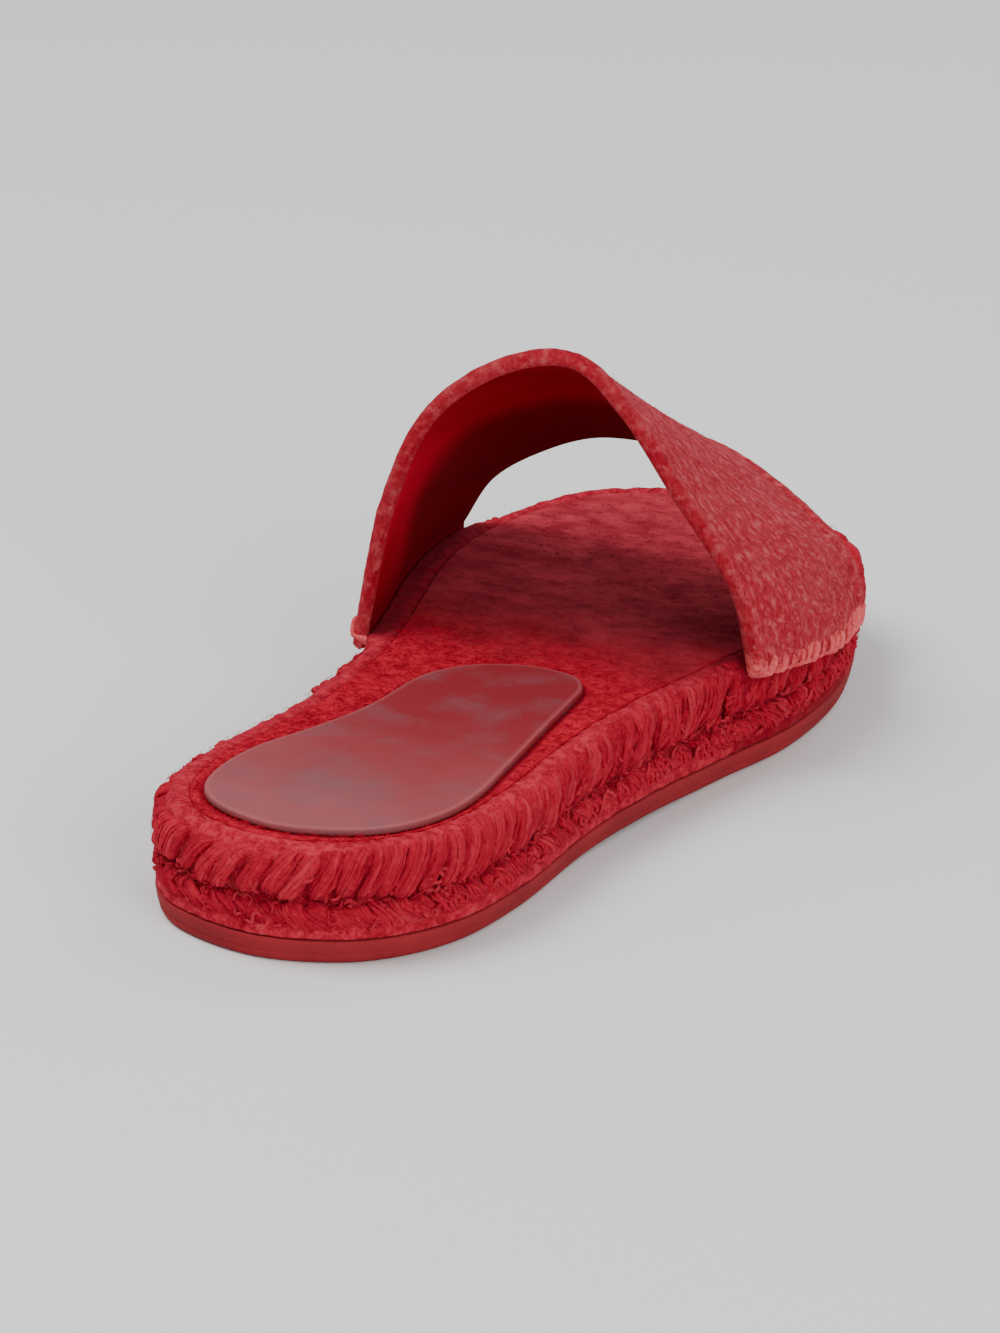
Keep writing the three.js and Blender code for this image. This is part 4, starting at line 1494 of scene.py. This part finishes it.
@dataclass
class Band:
    """The upper: cloth outside, lining inside, folded edges, sewn feet."""

    shape: BandShape
    rows: int = 340
    columns: int = 80
    edge_steps: int = 9
    foot_rows: int = 10
    margin: float = 0.016
    inner_tail: float = 2.6
    stitch_step: float = 3.4
    stitch_radius: float = 0.62
    seed: int = 31

    def section(self) -> tuple[Array, Array, Array, Array]:
        """The closed section through the wall: the lining from back to front, then the cloth back.

        Returns:
            Place from the back edge as a share of the width, distance past the edge in mm, height
            in the wall as a share of its thickness, and 1 where the cloth shows, not the lining.
        """
        turn = np.linspace(-math.pi / 2, math.pi / 2, self.edge_steps + 2)[1:-1]
        flat = np.linspace(0, 1, self.columns)
        none = np.zeros(self.columns)
        roll = 1.35 * np.cos(turn)
        spot = np.concatenate([flat, np.ones(self.edge_steps), flat[::-1], np.zeros(self.edge_steps)])
        past = np.concatenate([none, roll, none, -roll])
        height = np.concatenate([none, 0.5 + 0.5 * np.sin(turn), none + 1, 0.5 - 0.5 * np.sin(turn)])
        cloth = np.concatenate([none, np.ones(self.edge_steps), none + 1, np.ones(self.edge_steps)])
        return spot, past, height, cloth

    def arch(self, ahead: Array, past: Array, height: Array) -> tuple[Array, Array]:
        """The wall over the instep, from rim to rim.

        A point is the inner face at u and ahead, plus the thickness times height outwards, plus
        past along the cloth. The thickness has a step where the edges are folded over, and a
        bell-shaped groove beside it.

        Args:
            ahead: place of each column, as a share from the back to the front edge.
            past: distance of each column past its edge, in mm.
            height: height of each column in the wall, as a share of its thickness.

        Returns:
            Points of the wall and their outward directions, both (rows, columns, 3).
        """
        shape = self.shape
        share = np.linspace(0, 1, self.rows)
        u, v = np.meshgrid(share, ahead, indexing="ij")
        point, out = shape.frame_at(u, v)
        along = unit(shape.inner_face(u, v + 1e-3) - shape.inner_face(u, v - 1e-3))
        width = np.linalg.norm(shape.edges[0] - shape.edges[1], axis=1)
        span = np.interp(share, np.linspace(0, 1, len(width)), width)[:, None]
        from_edge = np.minimum(v, 1 - v) * span
        fold = 1 - smooth(from_edge, shape.fold_width - 0.6, shape.fold_width + 0.6)
        seam = np.exp(-((from_edge - shape.fold_width - 0.3) / 0.5) ** 2)
        thick = shape.wall + shape.fold_step * fold - 0.4 * seam
        out[..., 2] *= smooth(np.minimum(u, 1 - u), 0, 0.05)
        out = unit(out)
        return point + out * (thick * height)[..., None] + along * past[None, :, None], out

    def shade(self, whole: Array, ahead: Array, past: Array) -> Array:
        """Shade of the wall: mottled, deep on the back fold, and pale in patches over both hems.

        Args:
            whole: rows of the wall from hem to hem.
            ahead: place of each column, as a share from the back to the front edge.
            past: distance of each column past its edge, in mm.

        Returns:
            Shades, shape (rows, columns).
        """
        run = np.linalg.norm(np.diff(whole, axis=0), axis=-1).cumsum(axis=0)
        run = np.concatenate([np.zeros((1, len(ahead))), run])
        from_hem = np.minimum(run, run[-1:] - run)
        uneven = 1.2 * value_noise(whole, 4.0, 44)
        patchy = np.clip(0.72 + 0.4 * value_noise(whole, 5.0, 45), 0, 1)
        inner = (np.arange(len(whole)) > len(whole) // 2)[:, None]
        high = 2.6 + 2.2 * ahead + (1.5 + 3.5 * inner) * (1 - smooth(ahead, 0.0, 0.14))
        strip = patchy * (1 - smooth(from_hem + uneven, high, high + 1.6 + 0.6 * ahead))
        tone = np.clip(0.42 + 0.3 * value_noise(whole, 1.3, 41), 0, 0.6) - 0.3 * (past < -0.2)
        return tone + (1 - tone) * strip

    def make(self) -> bpy.types.Object:
        """Makes the band as one closed wall: the arch, with both feet dropped below the rim.

        Returns:
            The band, with cloth in its first slot and lining in its second.
        """
        spot, past, height, cloth = self.section()
        ahead = self.margin + spot * (1 - 2 * self.margin)
        grid, out = self.arch(ahead, past, height)
        down = np.linspace(0, 1, self.foot_rows + 1)[1:, None, None] * np.array([0, 0, 1])
        drop = down * self.shape.lap(ahead)[None, :, None]
        tail = down * self.inner_tail * (1 - smooth(ahead, 0.0, 0.3))[None, :, None]
        whole = np.concatenate([(grid[:1] - drop)[::-1], grid, grid[-1:] - drop - tail])
        out = np.pad(out, ((self.foot_rows, self.foot_rows), (0, 0), (0, 0)), mode="edge")
        lump = 0.1 * value_noise(whole, 1.3, 41) + 0.1 * value_noise(whole, 3.4, 42)
        broad = 0.5 * value_noise(whole, 30.0, 43)
        whole = self.close_hems(whole + out * ((lump + broad) * height * cloth)[..., None])
        lined = (cloth < 0.5) & (np.roll(cloth, -1) < 0.5)
        slots = np.broadcast_to(lined.astype(int), (len(whole) - 1, len(spot))).reshape(-1)
        parts = MeshParts()
        parts.add_grid(whole, self.chart(whole, cloth), self.shade(whole, ahead, past), slots, wrap=True)
        return parts.build("band_cloth", self.shape.sole.heel_seat, TweedFinish().make(),
                           LiningFinish().make(), weld=True)

    def chart(self, whole: Array, cloth: Array) -> Array:
        """Map of the wall in centimetres, measured along the cloth from the back edge.

        Args:
            whole: rows of the wall from hem to hem.
            cloth: 1 where a column is cloth, 0 where it is lining.

        Returns:
            Map coordinates, shape (rows, columns, 2).
        """
        rise = np.linalg.norm(np.diff(whole, axis=0), axis=-1).mean(axis=1)
        run = np.concatenate([[0], rise.cumsum()])[:, None]
        step = np.linalg.norm(np.diff(whole, axis=1), axis=-1)
        girth = np.concatenate([np.zeros((len(whole), 1)), step.cumsum(axis=1)], axis=1)
        girth = np.where(cloth > 0.5, girth[:, -1:] - girth, girth)
        return np.stack(np.broadcast_arrays(run, girth), axis=-1) / MAP_UNIT

    def close_hems(self, whole: Array) -> Array:
        """Rounds off the two lower hems: three more rows at each end close on the wall's middle.

        Args:
            whole: rows of the wall from hem to hem.

        Returns:
            The rows with the six more.
        """
        count = whole.shape[1]
        partner = (2 * self.columns + self.edge_steps - 1 - np.arange(count)) % count
        result = whole
        for end in (0, -1):
            hem = whole[end]
            middle = (hem + hem[partner]) / 2
            rows = np.array([middle + (hem - middle) * share - [0, 0, drop]
                             for share, drop in ((0.88, 0.35), (0.6, 0.75), (0.0, 1.0))])
            result = np.concatenate([rows[::-1], result]) if end == 0 else np.concatenate([result, rows])
        return result

    def make_stitches(self) -> bpy.types.Object:
        """Makes the pale stitches that hold the feet of the band to the rope.

        A stitch is a short thread over the lower hem: out of the cloth a little above it, down
        and a little forward over the edge, and into the rope below.

        Returns:
            One object with the stitches of both feet.
        """
        rng = np.random.default_rng(self.seed)
        shape = self.shape
        parts = MeshParts()
        share = np.linspace(0, 1, 12)
        for sign, foot in ((1, shape.outer_foot), (-1, shape.inner_foot)):
            start, stop = (edge * shape.sole.length for edge in foot)
            count = int((stop - start) / self.stitch_step)
            y = np.linspace(start + 1.4, stop - 1.6, count) + rng.uniform(-0.8, 0.8, count)
            lean = rng.normal(2.2, 1.1, (count, 1))
            path_y = y[:, None] + lean * (0.5 - share)[None]
            tall = rng.uniform(1.9, 3.3, (count, 1)) + 1.1 * np.linspace(0, 1, count)[:, None]
            over = shape.seat - shape.wall
            inset = np.interp(share, [0, 0.14, 0.5, 0.66, 0.8, 1.0],
                              [over + 0.5, over - 0.3, over - 0.42, over - 0.2, -0.6, 1.6])
            rise = np.interp(share, [0, 0.14, 0.66, 0.8, 1.0], [1.0, 0.9, -0.02, -0.2, -0.28])
            side = shape.sole.side(path_y, sign)
            hem = shape.sole.rim(path_y) - shape.lap((path_y - start) / (stop - start)) - 0.8
            z = hem + rise[None] * tall
            paths = np.stack([side - sign * inset[None], path_y, z], axis=-1)
            out = np.broadcast_to([float(sign), 0.0, 0.0], paths.shape)
            radius = np.full((count, len(share)), self.stitch_radius) * rng.uniform(0.6, 1.4, (count, 1))
            tone = rng.uniform(0.0, 0.6, (count, 1)) + 0.4 * np.linspace(0, 1, count)[:, None]
            parts.add_tubes(paths, out, radius, 8, tone, flat=1.3)
        return parts.build("band_stitches", shape.sole.heel_seat, ThreadFinish().make())

    def make_hairs(self, count: int = 3400) -> bpy.types.Object:
        """Makes the down of the cloth: short bent fibres off its outer face and its edges.

        Args:
            count: number of fibres.

        Returns:
            One object with every fibre.
        """
        rng = np.random.default_rng(self.seed + 3)
        each = (count, 1)
        u, v = rng.uniform(0, 1, each), rng.uniform(0, 1, each)
        edge = rng.uniform(0, 1, each) < 0.15
        v = np.where(edge, np.where(v > 0.5, 0.985, 0.015), v)
        point, out = (grid[:, 0] for grid in self.shape.frame_at(u, v))
        depth = np.where(edge, rng.uniform(0.3, 1, each), 1.0) * (self.shape.wall - 0.1)
        lead = unit(rng.normal(0, 1, (count, 3)))
        length = rng.uniform(0.3, 0.9, (count, 1, 1))
        bend = rng.normal(0, 0.4, (count, 3))
        parts = MeshParts()
        parts.add_hairs(point + out * depth, out + 1e-3, lead, bend, length, (0.055, 0.05, 0.04, 0.02),
                        rng.uniform(0.3, 1.0, each))
        finish = RopeFinish("band_down", deep=srgb(146, 20, 38), body=srgb(190, 52, 64),
                            light=srgb(216, 104, 108))
        return parts.build("band_down", self.shape.sole.heel_seat, finish.make())


@dataclass
class Studio:
    """Pale floor, soft lights, and the camera at the photograph's angle."""

    azimuth: float = 23.73
    elevation: float = 19.56
    roll: float = 2.5
    distance: float = 1572.7
    target: tuple[float, float, float] = (-5.68, 88.17, 20.0)
    focal_pixels: float = 7579.6
    picture_height: float = 1333.0
    sensor: float = 36.0
    sky: float = 0.55

    def make_camera(self) -> bpy.types.Object:
        """Sets the camera behind and to the right of the shoe, rolled a little.

        Returns:
            The camera, which is the scene's own.
        """
        turn, rise, roll = (math.radians(value) for value in (self.azimuth, self.elevation, self.roll))
        back = Vector((math.sin(turn) * math.cos(rise), -math.cos(turn) * math.cos(rise), math.sin(rise)))
        right = (-back).cross(Vector((0, 0, 1))).normalized()
        up = right.cross(-back)
        side = right * math.cos(roll) + up * math.sin(roll)
        top = up * math.cos(roll) - right * math.sin(roll)
        lens = bpy.data.cameras.new("camera")
        lens.sensor_width = self.sensor
        lens.lens = self.focal_pixels * self.sensor / self.picture_height
        lens.clip_start, lens.clip_end = 0.05, 20
        made = add_object("camera", lens)
        place = (Vector(self.target) + back * self.distance) * MM
        made.matrix_world = Matrix.Translation(place) @ Matrix((side, top, back)).transposed().to_4x4()
        bpy.context.scene.camera = made
        return made

    def make_floor(self) -> bpy.types.Object:
        """Lays the pale floor, a wide sheet just under the tread.

        Returns:
            The floor.
        """
        mesh = bpy.data.meshes.new("floor")
        reach = 6.0
        corners = [(-reach, -reach, 0), (reach, -reach, 0), (reach, reach, 0), (-reach, reach, 0)]
        mesh.from_pydata(corners, [], [(0, 1, 2, 3)])
        mesh.materials.append(Shader("floor").finish((0.8, 0.8, 0.79, 1), 0.9))
        floor = add_object("floor", mesh)
        return floor

    def make_lights(self) -> None:
        """Hangs one large soft light above and left, a fill by the camera and a weak sky."""
        center = Vector((0, 85, 30)) * MM
        lamps = (("key", (-0.55, -0.35, 1.15), 0.9, 14.0), ("fill", (0.98, -0.82, 0.55), 0.9, 10.5),
                 ("back", (0.3, 1.1, 0.9), 0.8, 5.0))
        for name, place, size, power in lamps:
            lamp = bpy.data.lights.new(name, "AREA")
            lamp.shape, lamp.size, lamp.energy = "DISK", size, power
            made = add_object(name, lamp)
            made.location = center + Vector(place)
            made.rotation_euler = (center - made.location).to_track_quat("-Z", "Y").to_euler()
        world = bpy.data.worlds.new("studio")
        world.use_nodes = True
        sky = world.node_tree.nodes["Background"]
        sky.inputs["Color"].default_value = (0.95, 0.96, 1.0, 1)
        sky.inputs["Strength"].default_value = self.sky
        bpy.context.scene.world = world


def settle(piece: bpy.types.Object, slot: str, *nodes: str) -> None:
    """Fixes a piece to the shoe and hides the solids that it stands for.

    Args:
        piece: the finished object.
        slot: not used.
        nodes: solids that it replaces, if any.
    """
    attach(piece, "root")
    if nodes:
        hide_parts(*nodes)


def main() -> None:
    """Builds the studio and every layer of the slide, from the floor up."""
    logging.basicConfig(level=logging.INFO, format="%(name)s %(message)s")
    studio = Studio()
    studio.make_camera()
    studio.make_floor()
    studio.make_lights()
    sole = SoleShape()
    band_shape = BandShape(sole)
    settle(Outsole(sole).make(), "outsole_rubber", "outsole")
    rope = RopeSole(sole, band_shape)
    settle(rope.make_core(), "sole_rope", "rope_sole")
    settle(rope.make_course(Course.UPPER), "sole_rope")
    settle(rope.make_course(Course.LOWER), "sole_rope")
    settle(rope.make_curls(), "sole_rope")
    settle(rope.make_hairs(), "sole_rope")
    footbed = Footbed(sole)
    settle(footbed.make_insole(), "footbed_cloth", "insole")
    settle(footbed.make_fuzz(), "footbed_cloth")
    settle(footbed.make_pad(), "pad_leather", "heel_pad")
    band = Band(band_shape)
    settle(band.make(), "band_cloth", "upper")
    settle(band.make_stitches(), "band_cloth")
    settle(band.make_hairs(), "band_cloth")


if __name__ == "__main__":
    main()
